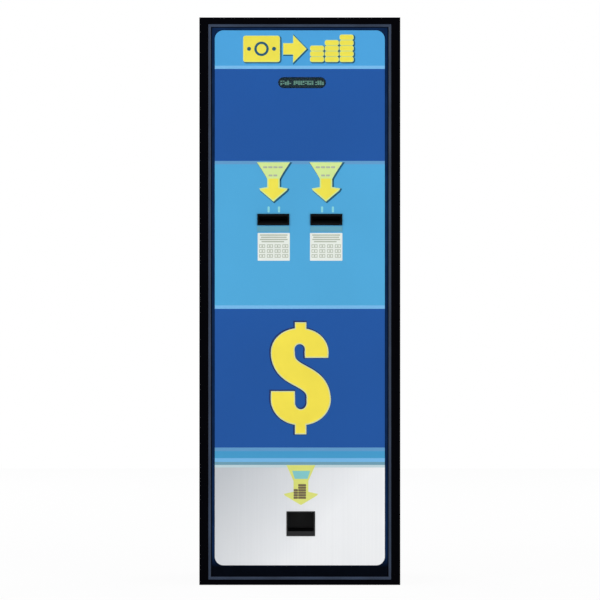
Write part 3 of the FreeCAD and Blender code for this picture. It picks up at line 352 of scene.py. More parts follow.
def lock_face():
    """Painted shade for the keyway: dark where |x - axis| < half the slot's width and |z - axis| < half its
    height.
    """
    finish = brushed("lock_brass", screen(196, 164, 98), 0.3, "x", 1.0, 0.05)
    tree = finish.node_tree
    shader = tree.nodes["Principled BSDF"]
    low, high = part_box("lock_plug")
    axes = add_node(tree, "ShaderNodeSeparateXYZ", Vector=own_place(tree)).outputs
    near = {"operation": "COMPARE"}
    narrow = add_node(tree, "ShaderNodeMath", near, i0=axes["X"], i1=(low.x + high.x) / 2,
                      i2=keyway_half_width)
    tall = add_node(tree, "ShaderNodeMath", near, i0=axes["Z"], i1=(low.z + high.z) / 2,
                    i2=keyway_half_height)
    # Painted shade: the keyway's hollow is a near-black patch laid over the brass.
    slot = add_node(tree, "ShaderNodeMath", {"operation": "MULTIPLY"}, i0=narrow.outputs[0],
                    i1=tall.outputs[0])
    brass = shader.inputs["Base Color"].links[0].from_socket
    tree.links.new(mixed(tree, slot.outputs[0], brass, screen(8, 7, 6)), shader.inputs["Base Color"])
    return finish


# %% [markdown]
# The message window is smoked acrylic: dark, smooth, and half see-through, so that the lit blocks
# behind it show. Fine scuffs from years of hands roughen it in places.

# %% Smoked window
def smoked_window():
    """A dark tint that is half see-through, over unevenly smooth acrylic."""
    finish, tree, shader = new_finish("smoked_window", screen(9, 40, 52), 0.08, Alpha=0.5,
                                      Specular_IOR_Level=0.25)
    scuffs = noise(tree, own_place(tree), 240.0, 3.0)
    tree.links.new(rerange(tree, scuffs, 0.05, 0.16), shader.inputs["Roughness"])
    return finish


# %% [markdown]
# Each subcomponent names the slot that its material goes in, so one table dresses the whole machine.
# A few pieces then get a coat of their own: the channel round the panel, the panel itself, the coin
# cup, and the cabinet's outer sheets, which have a coarser powder coat than the front frame.

# %% The finishes by their slot
satin = 0.06
finishes = {
    "black_steel": grained("black_powder_coat", screen(3, 3, 6), 0.55, 1600.0, 0.00005,
                           Specular_IOR_Level=matt),
    "stainless": brushed("brushed_stainless", screen(214, 217, 222), 0.42, "z", 0.55),
    "printed_film": printed_film(),
    "zinc_steel": plated("zinc_plate", screen(176, 180, 184), 0.42),
    "smoked_window": smoked_window(),
    "circuit_board": circuit_lacquer(),
    "display_glass": grained("display_face", screen(6, 36, 44), 0.3, 900.0, 0.00001),
    "black_plastic": grained("black_moulding", screen(5, 6, 8), 0.55, 2200.0, 0.00004,
                             Specular_IOR_Level=satin),
    "lip_metal": brushed("lip_metal", screen(92, 160, 184), 0.4, "x", 0.35),
    "grey_plastic": grained("grey_moulding", screen(70, 73, 77), 0.5, 2200.0, 0.00004),
    "roller_rubber": grained("roller_rubber", screen(28, 28, 29), 0.8, 1800.0, 0.00006),
    "hopper_plastic": grained("hopper_moulding", screen(188, 190, 186), 0.45, 2000.0, 0.00004),
    "disc_plastic": grained("disc_moulding", screen(176, 48, 34), 0.35, 2000.0, 0.00003),
    "component_black": grained("component_moulding", screen(26, 27, 30), 0.5, 2500.0, 0.00003),
    "button_red": grained("red_moulding", screen(188, 30, 26), 0.3, 2600.0, 0.00002),
    "button_white": grained("white_moulding", screen(222, 222, 216), 0.35, 2600.0, 0.00002),
    "seal_rubber": grained("seal_foam", screen(22, 22, 24), 0.9, 1300.0, 0.00012),
    "chromed": brushed("polished_chrome", screen(220, 222, 226), 0.12, "x", 1.0, 0.03),
    "brass_lock": lock_face(),
    "motor_steel": grained("motor_paint", screen(96, 99, 104), 0.4, 1400.0, 0.00003, 0.3),
}
side_coat = grained("black_side_coat", screen(20, 20, 22), 0.42, 900.0, 0.00012,
                    Specular_IOR_Level=0.35)
cup_moulding = grained("cup_moulding", screen(17, 18, 20), 0.5, 2200.0, 0.00004, Specular_IOR_Level=0.25)
side_nodes = ("left_side", "right_side", "roof", "rear_frame", "rear_door", "door_ribs",
              "hinge_barrels_cabinet", "hinge_barrels_door", "floor_plate")
slots = {entry["node"]: entry["material_slot"] for entry in frame["record"]["subparts"]}
for name, thing in frame["nodes"].items():
    thing.data.materials.clear()
    thing.data.materials.append(finishes[slots[name]])
own_coats = {"front_plate": channel_coat_painted_reflection_and_shade(), "face_panel": panel_steel(), "coin_cup": cup_moulding}
own_coats.update((name, side_coat) for name in side_nodes)
for name, coat in own_coats.items():
    frame["nodes"][name].data.materials[0] = coat
print("finishes", len(finishes), "and", len(own_coats), "pieces with their own coat")

# %% [markdown]
# The signs on the film are ink and vinyl a fraction of a millimetre thick. Each one is a flat outline
# with a front, a back and a thin edge. A print in several colours is several such layers, each one
# resting on the last, as a screen printer lays them down.

# %% Flat solids and pieces
def turning(points):
    """Twice the signed area, sum of x1 z2 - x2 z1: positive for an anticlockwise outline."""
    after = np.roll(points, -1, axis=0)
    return np.sum(points[:, 0] * after[:, 1] - after[:, 0] * points[:, 1])


def prism(outline, front, back):
    """Vertices and faces of a closed outline carried from y = back forward to y = front."""
    points = np.asarray(outline, float)
    count = len(points)
    if turning(points) < 0:
        points = points[::-1]
    layers = [np.column_stack((points[:, 0], np.full(count, y), points[:, 1])) for y in (front, back)]
    here = np.arange(count)
    after = np.roll(here, -1)
    sides = np.column_stack((here, here + count, after + count, after))
    faces = [here.tolist(), (here[::-1] + count).tolist()] + sides.tolist()
    return np.vstack(layers), faces


def gathered(parts):
    """Several (vertices, faces) pairs as one pair."""
    vertices = []
    faces = []
    start = 0
    for some, their_faces in parts:
        vertices.append(some)
        faces += [[index + start for index in face] for face in their_faces]
        start += len(some)
    return np.vstack(vertices), faces


def add_piece(name, mesh_data, finish, body="cabinet"):
    """Make a piece from vertices and faces, finish it, and let it ride on a body."""
    vertices, faces = mesh_data
    mesh = bpy.data.meshes.new(name)
    mesh.from_pydata(vertices.tolist(), [], faces)
    mesh.update()
    piece = bpy.data.objects.new(name, mesh)
    bpy.context.scene.collection.objects.link(piece)
    mesh.materials.append(finish)
    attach(piece, body)


# %% [markdown]
# The signs' outlines are ovals, rectangles with round corners, and a few polygons. A shadow or a rim is
# the same outline, grown a little. They are all drawn in the photograph's pixels and turned into metres
# at the end.

# %% Outlines
def oval(x, z, half_width, half_height, count=40):
    """Points of an ellipse: middle + (a cos t, b sin t)."""
    turn = np.linspace(0, 2 * np.pi, count, endpoint=False)
    return np.column_stack((x + half_width * np.cos(turn), z + half_height * np.sin(turn)))


def oblong(left, right, low, high, corner=0.0, count=6):
    """A rectangle whose corners are quarter circles of the given radius."""
    if corner <= 0:
        return np.array([(left, low), (right, low), (right, high), (left, high)])
    turn = np.linspace(0, np.pi / 2, count)
    arcs = []
    for start, x, z in ((np.pi, left + corner, low + corner), (1.5 * np.pi, right - corner, low + corner),
                        (0.0, right - corner, high - corner), (0.5 * np.pi, left + corner, high - corner)):
        angle = start + turn
        arcs.append(np.column_stack((x + corner * np.cos(angle), z + corner * np.sin(angle))))
    return np.vstack(arcs)


def grown(outline, amount):
    """Move each point of an outline outwards along the mean of its two edges' normals."""
    points = np.asarray(outline, float)
    before = points - np.roll(points, 1, axis=0)
    after = np.roll(points, -1, axis=0) - points
    turned = np.sign(turning(points))
    normals = []
    for edge in (before, after):
        length = np.maximum(np.linalg.norm(edge, axis=1), 1e-9)[:, None]
        normals.append(np.column_stack((edge[:, 1], -edge[:, 0])) / length * turned)
    mean = normals[0] + normals[1]
    mean /= np.maximum(np.sum(mean * mean, axis=1), 0.5)[:, None] / 2
    return points + mean * amount


def from_photo(corners):
    """Outline corners in pixels as metres on the front."""
    corners = np.asarray(corners, float)
    return np.column_stack((across(corners[:, 0]), up(corners[:, 1])))


# %% [markdown]
# The signs use a dozen inks. They are all the same satin print with a little speckle, so one function
# makes them and only the colour differs.

# %% Ink colours
def ink_finish(name, colour):
    """Satin print: the grained recipe with hardly any relief or cloud."""
    return grained(name, colour, 0.4, 1500.0, 0.00001, 0.0, 0.05, Specular_IOR_Level=0.2)


sign_yellow = ink_finish("ink_yellow", screen(232, 220, 76))
sign_pale = ink_finish("ink_pale", screen(204, 226, 146))
sign_shadow = ink_finish("ink_shadow", screen(22, 84, 110))
dollar_yellow = ink_finish("ink_gold", screen(238, 220, 74))
dollar_edge = ink_finish("ink_cream", screen(206, 214, 160))
dollar_shadow = ink_finish("ink_navy", screen(20, 40, 92))
sticker_white = ink_finish("ink_white", screen(226, 231, 224))
sticker_grey = ink_finish("ink_grey", screen(168, 176, 158))
tick_pale = ink_finish("ink_tick", screen(132, 206, 214))
coin_brown = ink_finish("ink_bronze", screen(112, 98, 74))
cup_yellow = ink_finish("ink_lime", screen(216, 220, 118))
band_teal = ink_finish("ink_teal", screen(128, 196, 198))
print("inks", sum(material.name.startswith("ink_") for material in bpy.data.materials))

# %% [markdown]
# The header says in pictures what the machine does: a banknote goes in, coins come out. The pictures
# are large, heavy and yellow, with a dark shadow under their right and lower edges.

# %% Header pictogram
film_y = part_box("graphic_film")[0].y
ink = 0.00016
header_left, header_right = 243.5, 355.0
header_top, header_foot = 36.0, 61.5
note_right, coin_half_width, coin_height, coin_gap = 279.5, 6.6, 4.6, 0.9
coin_stacks = ((317.0, 3), (331.8, 4), (346.6, 5))
header_arrow = ((283.5, 43.5), (293.5, 43.5), (293.5, header_top), (306.0, 48.8),
                (293.5, header_foot), (293.5, 54.0), (283.5, 54.0))


def header_shapes():
    """Outlines, in pixels: a note, an arrow and three stacks of coins."""
    shapes = [oblong(header_left, note_right, header_top, header_foot, 2.0), np.array(header_arrow)]
    for middle, count in coin_stacks:
        for row in range(count):
            foot = header_foot - row * (coin_height + coin_gap)
            shapes.append(oblong(middle - coin_half_width, middle + coin_half_width,
                                 foot - coin_height, foot, 1.7))
    return shapes


def layered(name, outlines, base, layers):
    """Print outlines in layers of (suffix, growth, shift right, shift down, finish) in pixels."""
    for level, (suffix, growth, right, down, finish) in enumerate(layers):
        parts = []
        for outline in outlines:
            moved = grown(outline, growth) + np.array([right, down])
            parts.append(prism(from_photo(moved), base - ink * (level + 1), base - ink * level))
        add_piece(f"{name}_{suffix}", gathered(parts), finish)


layered("header_sign", header_shapes(), film_y, (
    ("shadow", 1.1, 0.9, 0.7, sign_shadow),
    ("rim", 0.5, 0.0, 0.0, sign_pale),
    ("face", 0.0, 0.0, 0.0, sign_yellow),
))
note_middle, note_high = 261.5, (header_top + header_foot) / 2
note_marks = (
    (note_middle, 7.2, sign_shadow, 3), (note_middle, 4.8, sign_yellow, 4),
    (note_middle - 12.5, 2.0, sign_shadow, 3), (note_middle + 12.5, 2.0, sign_shadow, 3),
)
for index, (x, radius, finish, level) in enumerate(note_marks):
    base = film_y - ink * level
    disc = from_photo(oval(x, note_high, radius, radius))
    add_piece(f"header_note_{index}", prism(disc, base - ink, base), finish)
print("header", round(float(across(header_right) - across(header_left)), 3), "m wide")

# %% [markdown]
# Two arrows lead the eye to the mouths. Each starts as a wide funnel at the band's edge, narrows to a
# shaft and ends in a barbed head. The funnel's sides are curves, so they are a power of the height.

# %% Arrows over the mouths
arrow_top, arrow_waist, arrow_neck, arrow_barb, arrow_tip = 162.2, 179.0, 187.0, 188.4, 201.6
funnel_half, shaft_half, barb_half = 16.6, 6.2, 14.2
mouth_middles = (("left", 273.4), ("right", 326.0))
dash_rows = ((167.2, 10.2, 4), (175.4, 4.8, 2))
dash_gap, dash_half_height = 1.0, 0.9
core_inset, core_rise = 1.3, 0.5
blunt_share, blunt_reach = 0.15, 0.93


def funnel_outline(middle, top, waist, wide, narrow, bend=1.1, count=10):
    """Half-width = narrow + (wide - narrow) * (1 - t) ^ bend, from the top down to the waist."""
    share = np.linspace(0, 1, count)
    half = narrow + (wide - narrow) * (1 - share) ** bend
    height = top + (waist - top) * share
    right = np.column_stack((middle + half, height))
    left = np.column_stack((middle - half, height))[::-1]
    return np.vstack((right, left))


def head_outline(middle, waist, neck, barb, tip, narrow, wide):
    """A shaft that opens into two blunt barbs and closes at the tip."""
    blunt = barb + blunt_share * (tip - barb)
    right = np.array([(narrow, waist), (narrow, neck), (wide, barb),
                      (blunt_reach * wide, blunt), (0.0, tip)])
    left = right[-2::-1] * np.array([-1.0, 1.0])
    return np.vstack((right, left)) + np.array([middle, 0.0])


for side, middle in mouth_middles:
    funnel = funnel_outline(middle, arrow_top, arrow_waist, funnel_half, shaft_half)
    head = head_outline(middle, arrow_waist, arrow_neck, arrow_barb, arrow_tip, shaft_half, barb_half)
    layered(f"arrow_{side}", [funnel, head], film_y, (("shadow", 0.7, 1.0, 0.8, sign_shadow),))
    core = grown(head, -core_inset)
    core[[0, -1], 1] = arrow_waist - core_rise
    for part, outline, finish, level in (("funnel", funnel, sign_pale, 1), ("head", head, sign_pale, 1),
                                         ("core", core, sign_yellow, 2)):
        base = film_y - ink * level
        add_piece(f"arrow_{side}_{part}", prism(from_photo(outline), base - ink, base), finish)
    dashes = []
    for row, half, count in dash_rows:
        length = 2 * half / count - dash_gap
        for start in middle + np.linspace(-half, half, count, endpoint=False):
            dash = oblong(start, start + length, row - dash_half_height, row + dash_half_height, 0.4)
            dashes.append(prism(from_photo(dash), film_y - 3 * ink, film_y - 2 * ink))
    add_piece(f"arrow_{side}_dashes", gathered(dashes), sticker_grey)
print("arrow", round((arrow_tip - arrow_top) * metres_per_pixel, 3), "m tall")

# %% [markdown]
# Two short upright dashes stand between each arrow's tip and its mouth, and lead the note in.

# %% Ticks over the mouths
tick_half, tick_top, tick_foot = 1.1, 206.4, 212.4
tick_places = {"left": (268.6, 279.0), "right": (322.1, 332.9)}
for side, places in tick_places.items():
    ticks = []
    for x in places:
        outline = oblong(x - tick_half, x + tick_half, tick_top, tick_foot, 0.8)
        ticks.append(prism(from_photo(outline), film_y - ink, film_y))
    add_piece(f"mouth_ticks_{side}", gathered(ticks), tick_pale)
print("tick", round((tick_foot - tick_top) * metres_per_pixel * 1000, 1), "mm tall")

# %% [markdown]
# Under each mouth is a white sticker with plain drawings: rows of grey rules above a grid of small
# banknotes, each a thin rectangle with a dot in its middle.

# %% Stickers
sticker_top, sticker_foot = 232.9, 260.7
sticker_edges = {"left": (257.7, 289.8), "right": (310.0, 342.4)}
rule_shares = ((0.07, 0.86), (0.1, 0.8), (0.07, 0.86), (0.12, 0.7))
rule_drop, rule_pitch, rule_height = 1.6, 2.2, 1.1
notes_across, notes_down = 4, 3
first_note_share, note_share, note_drop, note_pitch = 0.14, 0.24, 13.2, 4.9
note_half, note_rise, note_line, note_eye = 2.9, 1.7, 0.6, 0.8


def note_outlines(x, z):
    """Four thin sides of a rectangle and a dot in its middle."""
    left, right, top, foot = x - note_half, x + note_half, z - note_rise, z + note_rise
    return (
        oblong(left, right, top, top + note_line),
        oblong(left, right, foot - note_line, foot),
        oblong(left, left + note_line, top + note_line, foot - note_line),
        oblong(right - note_line, right, top + note_line, foot - note_line),
        oval(x, z, note_eye, note_eye, 16),
    )


for side, (left, right) in sticker_edges.items():
    width = right - left
    face = oblong(left, right, sticker_top, sticker_foot, 0.6)
    add_piece(f"sticker_{side}", prism(from_photo(face), film_y - ink, film_y), sticker_white)
    outlines = []
    for row, (start, length) in enumerate(rule_shares):
        z = sticker_top + rule_drop + row * rule_pitch
        rule_left = left + width * start
        outlines.append(oblong(rule_left, rule_left + width * length, z, z + rule_height))
    for row in range(notes_down):
        for column in range(notes_across):
            x = left + width * (first_note_share + note_share * column)
            outlines.extend(note_outlines(x, sticker_top + note_drop + row * note_pitch))
    marks = [prism(from_photo(outline), film_y - 2 * ink, film_y - ink) for outline in outlines]
    add_piece(f"sticker_print_{side}", gathered(marks), sticker_grey)
    print("sticker", side, round(width * metres_per_pixel * 1000, 1), "mm wide")

# %% [markdown]
# The big currency sign is a broad stroke that follows an S: over the top in half an ellipse, down a
# slanting S-bend, and under in another half ellipse. The stroke is thick where it runs upright and
# thinner over the top and bottom, as a sign painter would draw it.

# %% Currency sign
sign_steps = 28
arch_middle, arch_radii = (299.6, 352.5), (16.9, 16.5)
bowl_middle, bowl_radii = (300.7, 399.0), (17.9, 18.2)
bend_pulls = ((282.7, 380.0), (318.6, 372.0))
top_end, foot_end = (316.5, 357.5), (282.8, 391.3)
top_half, upright_half, bowl_half = 11.4, 11.7, 11.9
arch_thinning, bend_thinning, bowl_thinning = 4.0, 0.5, 4.2


def sign_stroke(extra):
    """Centre line and half-width of the stroke, in pixels, with the width grown by extra.

    The S-bend is a cubic: (1-t)^3 a + 3 (1-t)^2 t b + 3 (1-t) t^2 c + t^3 d."""
    half_turn = np.linspace(0, np.pi, sign_steps)
    around = np.column_stack((np.cos(half_turn), np.sin(half_turn)))
    over = arch_middle + around * arch_radii * (1, -1)
    under = bowl_middle + around * bowl_radii
    share = np.linspace(0, 1, sign_steps)[1:-1, None]
    start, end = over[-1], under[0]
    pull_one, pull_two = np.array(bend_pulls)
    bend = ((1 - share) ** 3 * start + 3 * (1 - share) ** 2 * share * pull_one
            + 3 * (1 - share) * share ** 2 * pull_two + share ** 3 * end)
    line = np.vstack(((top_end[0], top_end[1] + extra), over, bend, under,
                      (foot_end[0], foot_end[1] - extra)))
    arch = upright_half - arch_thinning * np.sin(half_turn) ** 2
    middle = upright_half - bend_thinning * np.sin(half_turn[1:-1])
    bowl = bowl_half - bowl_thinning * np.sin(half_turn) ** 2
    return line, np.concatenate(([top_half], arch, middle, bowl, [upright_half])) + extra


def stroke_solid(line, width, front, back):
    """A band of a given half-width carried along a line, closed on all sides."""
    pace = np.gradient(line, axis=0)
    pace /= np.linalg.norm(pace, axis=1)[:, None]
    pace[0] = (0.0, -1.0)
    pace[-1] = (0.0, -1.0)
    side = np.column_stack((-pace[:, 1], pace[:, 0])) * width[:, None]
    edges = [from_photo(line + side), from_photo(line - side)]
    count = len(line)
    corners = [np.column_stack((edge[:, 0], np.full(count, y), edge[:, 1]))
               for edge, y in ((edges[0], front), (edges[1], front), (edges[1], back), (edges[0], back))]
    here = np.arange(count - 1)
    faces = []
    for corner in range(4):
        this, then = corner * count, ((corner + 1) % 4) * count
        faces.append(np.column_stack((here + this, here + then, here + then + 1, here + this + 1)))
    ends = [[0, 3 * count, 2 * count, count], [count - 1, 2 * count - 1, 3 * count - 1, 4 * count - 1]]
    return np.vstack(corners), np.vstack(faces).tolist() + ends


stub_left, stub_right = 295.1, 306.0
stub_heights = ((322.4, 337.0), (417.0, 434.0))
stub_rise = 1.02


def currency_sign(name, extra, right, down, level, finish):
    """The stroke and its two upright stubs, which stand a hair further forward than the stroke."""
    line, width = sign_stroke(extra)
    shift = np.array([right, down])
    base = film_y - ink * level
    parts = [stroke_solid(line + shift, width, base - ink, base)]
    for (top, foot), (above, below) in zip(stub_heights, ((extra, 0), (0, extra))):
        stub = oblong(stub_left - extra, stub_right + extra, top - above, foot + below) + shift
        parts.append(prism(from_photo(stub), base - ink * stub_rise, base))
    add_piece(name, gathered(parts), finish)


currency_sign("currency_shadow", 1.3, -0.5, -0.3, 0, dollar_shadow)
currency_sign("currency_rim", 0.3, 0.1, 0.1, 1, dollar_edge)
currency_sign("currency_face", -0.8, 0.0, 0.0, 2, dollar_yellow)
print("sign", round((stub_heights[1][1] - stub_heights[0][0]) * metres_per_pixel, 3), "m tall")

# %% [markdown]
# The last arrow points at the coin cup. It begins on the film's lowest line and runs on over the bare
# steel, so its top is a strip printed on the film and the rest is printed on the steel below.

# %% Arrow over the cup
panel_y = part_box("face_panel")[0].y
film_foot = photo_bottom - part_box("graphic_film")[0].z / metres_per_pixel
cup_middle, cup_waist, cup_neck, cup_barb, cup_tip = 300.9, 481.0, 491.8, 494.0, 505.2
cup_wide, cup_narrow, cup_reach = 13.4, 7.4, 17.2
strip_half, strip_top = 14.6, 465.2
window_corners = ((292.2, 470.9), (310.2, 470.9), (307.6, 478.9), (294.8, 478.9))
cup_coin_pitch, cup_coin_height, stack_foot = 2.5, 2.2, 498.0
cup_stacks = ((298.2, 306.0, 484.2), (293.6, 297.9, 489.2))

strip = np.array([(-strip_half, strip_top), (strip_half, strip_top),
                  (cup_wide, film_foot), (-cup_wide, film_foot)])
add_piece("cup_arrow_top", prism(from_photo(strip + [cup_middle, 0]), film_y - ink, film_y), cup_yellow)
cup_funnel = funnel_outline(cup_middle, film_foot, cup_waist, cup_wide, cup_narrow, 1.0)
cup_head = head_outline(cup_middle, cup_waist, cup_neck, cup_barb, cup_tip, cup_narrow, cup_reach)
cup_coins = [oblong(left, right, z, z + cup_coin_height, 0.5) for left, right, top in cup_stacks
             for z in np.arange(top, stack_foot, cup_coin_pitch)]
for part, outlines, finish, level in (("body", [cup_funnel, cup_head], cup_yellow, 0),
                                      ("band", [window_corners], band_teal, 1),
                                      ("coins", cup_coins, coin_brown, 1)):
    base = panel_y - ink * level
    solids = [prism(from_photo(outline), base - ink, base) for outline in outlines]
    add_piece(f"cup_arrow_{part}", gathered(solids), finish)
print("cup arrow", round((cup_tip - strip_top) * metres_per_pixel, 3), "m tall")

# %% [markdown]
# The message window is lit from behind. Small blocks of light show in it, in three groups with a gap
# between them. Each block is lit or left dark by a seeded draw, so it is the same every time.

# %% Lit blocks in the message window
module_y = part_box("display_module")[0].y
glow, _, glow_shader = new_finish("message_glow", screen(150, 214, 170), 0.5)
glow_shader.inputs["Emission Color"].default_value = screen(158, 220, 196)
glow_shader.inputs["Emission Strength"].default_value = 1.3
groups = ((280.4, 5), (293.6, 9), (315.2, 4))
block_pitch, block_width, rows, row_top, row_pitch, row_height = 2.25, 1.8, 4, 80.6, 1.1, 0.85
lit_share, block_rise = 0.78, 0.0003
seeded = np.random.default_rng(7)
cells = []
for start, count in groups:
    for x in start + block_pitch * np.arange(count):
        for z in row_top + row_pitch * np.arange(rows):
            if seeded.random() < lit_share:
                block = from_photo(oblong(x, x + block_width, z, z + row_height))
                cells.append(prism(block, module_y - block_rise, module_y))
add_piece("message_characters", gathered(cells), glow)
print("lit blocks", len(cells))

# %% [markdown]
# A narrow rounded bead runs round the inside of the front frame and catches the light. Its blue-grey coat,
# much lighter than the black frame, is a painted highlight along it. It is a half ellipse carried round a
# rectangle with mitred corners.

# %% Frame bead
bead_left, bead_right, bead_top, bead_foot = 209.3, 390.2, 25.3, 578.4
bead_half_width, bead_rise, bead_seat = 0.0042, 0.0022, 0.0026


def bead(points=14):
    """Section (w cos t, -h sin t) carried round four mitred corners."""
    turn = np.linspace(0, np.pi, points)
    middle_x, middle_z = across((bead_left + bead_right) / 2), up((bead_top + bead_foot) / 2)
    half_x = (across(bead_right) - across(bead_left)) / 2
    half_z = (up(bead_top) - up(bead_foot)) / 2
    out = bead_half_width * np.cos(turn)
    y = cabinet_low.y + bead_seat - bead_rise * np.sin(turn)
    rings = []
    for sx, sz in ((-1, -1), (1, -1), (1, 1), (-1, 1)):
        rings.append(np.column_stack((middle_x + sx * (half_x + out), y, middle_z + sz * (half_z + out))))
    here = np.arange(4 * points).reshape(4, points)
    after = np.roll(here, -1, axis=1)
    faces = np.stack((here, after, np.roll(after, -1, axis=0), np.roll(here, -1, axis=0)), axis=-1)
    return np.vstack(rings), faces.reshape(-1, 4).tolist()


# Painted highlight: the bead's blue-grey colour stands in for the light caught along the frame's inner
# edge.
bead_painted_highlight_coat = grained("bead_painted_highlight_coat", screen(44, 56, 76), 0.42, 1500.0, 0.00004, 0.0, 0.3,
                    Specular_IOR_Level=0.2)
add_piece("frame_bead", bead(), bead_painted_highlight_coat)
print("bead", round(2000 * bead_half_width, 1), "mm wide")

# %% [markdown]
# The vents in the rear door are pressed outwards: a slit is cut and the metal above it is pushed into a
# hood, so that rain and fingers stay out. The hood swells across its width and down its height, and the
# same swell, moved in by the sheet's thickness, is its inside.

# %% Vent hoods
hood_half, hood_drop, hood_rise, sheet = 0.066, 0.0095, 0.0065, 0.0009
hood_lap = 0.6
vent_pitch, vents_in_a_row = 0.014, 6
low_vent, high_vent = 0.168, 0.230
door_low, door_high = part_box("rear_door")
vent_starts = (door_low.z + low_vent, door_high.z - high_vent)


def closed_shell(outer, inner):
    """Two grids of points, shape (rows, columns, 3), joined round their rim into one closed skin."""
    rows, columns = outer.shape[:2]
    index = np.arange(rows * columns).reshape(rows, columns)
    a, b, c, d = index[:-1, :-1], index[:-1, 1:], index[1:, 1:], index[1:, :-1]
    face = np.stack((a, b, c, d), axis=-1).reshape(-1, 4)
    back = face[:, ::-1] + rows * columns
    rim = np.concatenate((index[0], index[1:, -1], index[-1, -2::-1], index[-2:0:-1, 0]))
    after = np.roll(rim, -1)
    edge = np.stack((after, rim, rim + rows * columns, after + rows * columns), axis=-1)
    points = np.vstack((outer.reshape(-1, 3), inner.reshape(-1, 3)))
    return points, np.vstack((face, back, edge)).tolist()


def vent_hood(top):
    """x = half * u, y = back + rise * (1 - u^6) * sin(pi v / 2), z = top - drop * v."""
    u, v = np.meshgrid(np.linspace(1, -1, 25), np.linspace(0, 1, 9))
    swell = (1 - u ** 6) * np.sin(v * np.pi / 2)
    skins = []
    for lift in (sheet, 0.0):
        out = door_high.y + hood_rise * swell + lift
        skins.append(np.stack((hood_half * u, out, top - hood_drop * v), axis=-1))
    return closed_shell(*skins)


hoods = [vent_hood(start + index * vent_pitch + hood_drop * hood_lap)
         for start in vent_starts for index in range(vents_in_a_row)]
add_piece("vent_hoods", gathered(hoods), side_coat, body="door")
print("vent hoods", len(hoods))

# %% [markdown]
# The tee handle is die-cast. Its ends are cushioned: the bar's own section, a rectangle with soft
# corners, shrinks along a quarter ellipse to a point.

# %% Handle ends
handle_low, handle_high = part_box("tee_handle")
bar_half_height, bar_half_thick, cushion = 0.009, 0.006, 0.007
bar_middle_y = handle_high.y - bar_half_thick
bar_middle_z = (handle_low.z + handle_high.z) / 2
sunk = 0.98
last_angle = 0.96 * np.pi / 2


def section(count, power):
    """A soft rectangle: |y|^power + |z|^power = 1."""
    turn = np.linspace(0, 2 * np.pi, count, endpoint=False)
    across_turn, up_turn = np.cos(turn), np.sin(turn)
    return (np.sign(across_turn) * np.abs(across_turn) ** (2 / power),
            np.sign(up_turn) * np.abs(up_turn) ** (2 / power))


def ringed(rings):
    """Closed skin over a stack of rings of points, with a cap at each end."""
    here = np.arange(len(rings) * len(rings[0])).reshape(len(rings), -1)
    after = np.roll(here, -1, axis=1)
    sides = np.stack((here[:-1], after[:-1], after[1:], here[1:]), axis=-1).reshape(-1, 4)
    return np.vstack(rings), sides.tolist() + [here[0, ::-1].tolist(), here[-1].tolist()]


def handle_end(direction):
    """Rings at x = end + direction * cushion * sin(a), scaled by cos(a), a from 0 to nearly pi / 2."""
    end = handle_high.x if direction > 0 else handle_low.x
    y, z = section(48, 7)
    rings = []
    for angle in np.linspace(0, last_angle, 12):
        scale = np.cos(angle)
        rings.append(np.column_stack((
            np.full(len(y), end + direction * cushion * np.sin(angle)),
            bar_middle_y + bar_half_thick * sunk * scale * y,
            bar_middle_z + bar_half_height * sunk * scale * z)))
    points, faces = ringed(rings)
    return points, (faces if direction > 0 else [face[::-1] for face in faces])


for side, direction in (("left", -1), ("right", 1)):
    add_piece(f"handle_end_{side}", handle_end(direction), finishes["chromed"], body="handle")
print("handle", round(handle_high.x - handle_low.x + 2 * cushion, 4), "m long")

# %% [markdown]
# A turned ring seats the handle's collar on the door. It is a torus, a small circle carried round a
# large one, and lies in the angle between the collar and the door's skin.

# %% Collar ring
collar_low, collar_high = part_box("handle_collar")
ring_middle = (collar_low + collar_high) / 2
ring_radius, ring_bead = 0.0225, 0.0016


def collar_ring():
    """A torus: (R + r cos b) round the handle's axis, with r sin b along it."""
    a, b = np.meshgrid(np.linspace(0, 2 * np.pi, 96, endpoint=False),
                       np.linspace(0, 2 * np.pi, 16, endpoint=False))
    reach = ring_radius + ring_bead * np.cos(b)
    points = np.stack((ring_middle.x + reach * np.cos(a), door_high.y + ring_bead * (1 + np.sin(b)),
                       ring_middle.z + reach * np.sin(a)), axis=-1)
    rows, columns = a.shape
    index = np.arange(rows * columns).reshape(rows, columns)
    right = np.roll(index, -1, axis=1)
    above = np.roll(index, -1, axis=0)
    corner = np.roll(right, -1, axis=0)
    faces = np.stack((index, right, corner, above), axis=-1).reshape(-1, 4)
    return points.reshape(-1, 3), faces.tolist()


add_piece("handle_collar_ring", collar_ring(), finishes["chromed"], body="door")
print("ring", round(2 * (ring_radius + ring_bead), 4), "m across")

# %% [markdown]
# A product photograph is cut out on white, but the object still has to stand on something. The floor
# looks white to the camera and in mirrors and glass, while its plain pale paint keeps a trace of the
# object's shadow. Light Path tells which ray is asking.

# %% Floor
floor_half, white_share = 6.0, 0.94


def looked_at(tree):
    """1 for a camera, mirror or glass ray, otherwise 0: the largest of three Light Path outputs."""
    paths = add_node(tree, "ShaderNodeLightPath").outputs
    largest = {"operation": "MAXIMUM"}
    direct = add_node(tree, "ShaderNodeMath", largest, i0=paths["Is Camera Ray"], i1=paths["Is Glossy Ray"])
    return add_node(tree, "ShaderNodeMath", largest, i0=direct.outputs[0],
                    i1=paths["Is Transmission Ray"]).outputs[0]


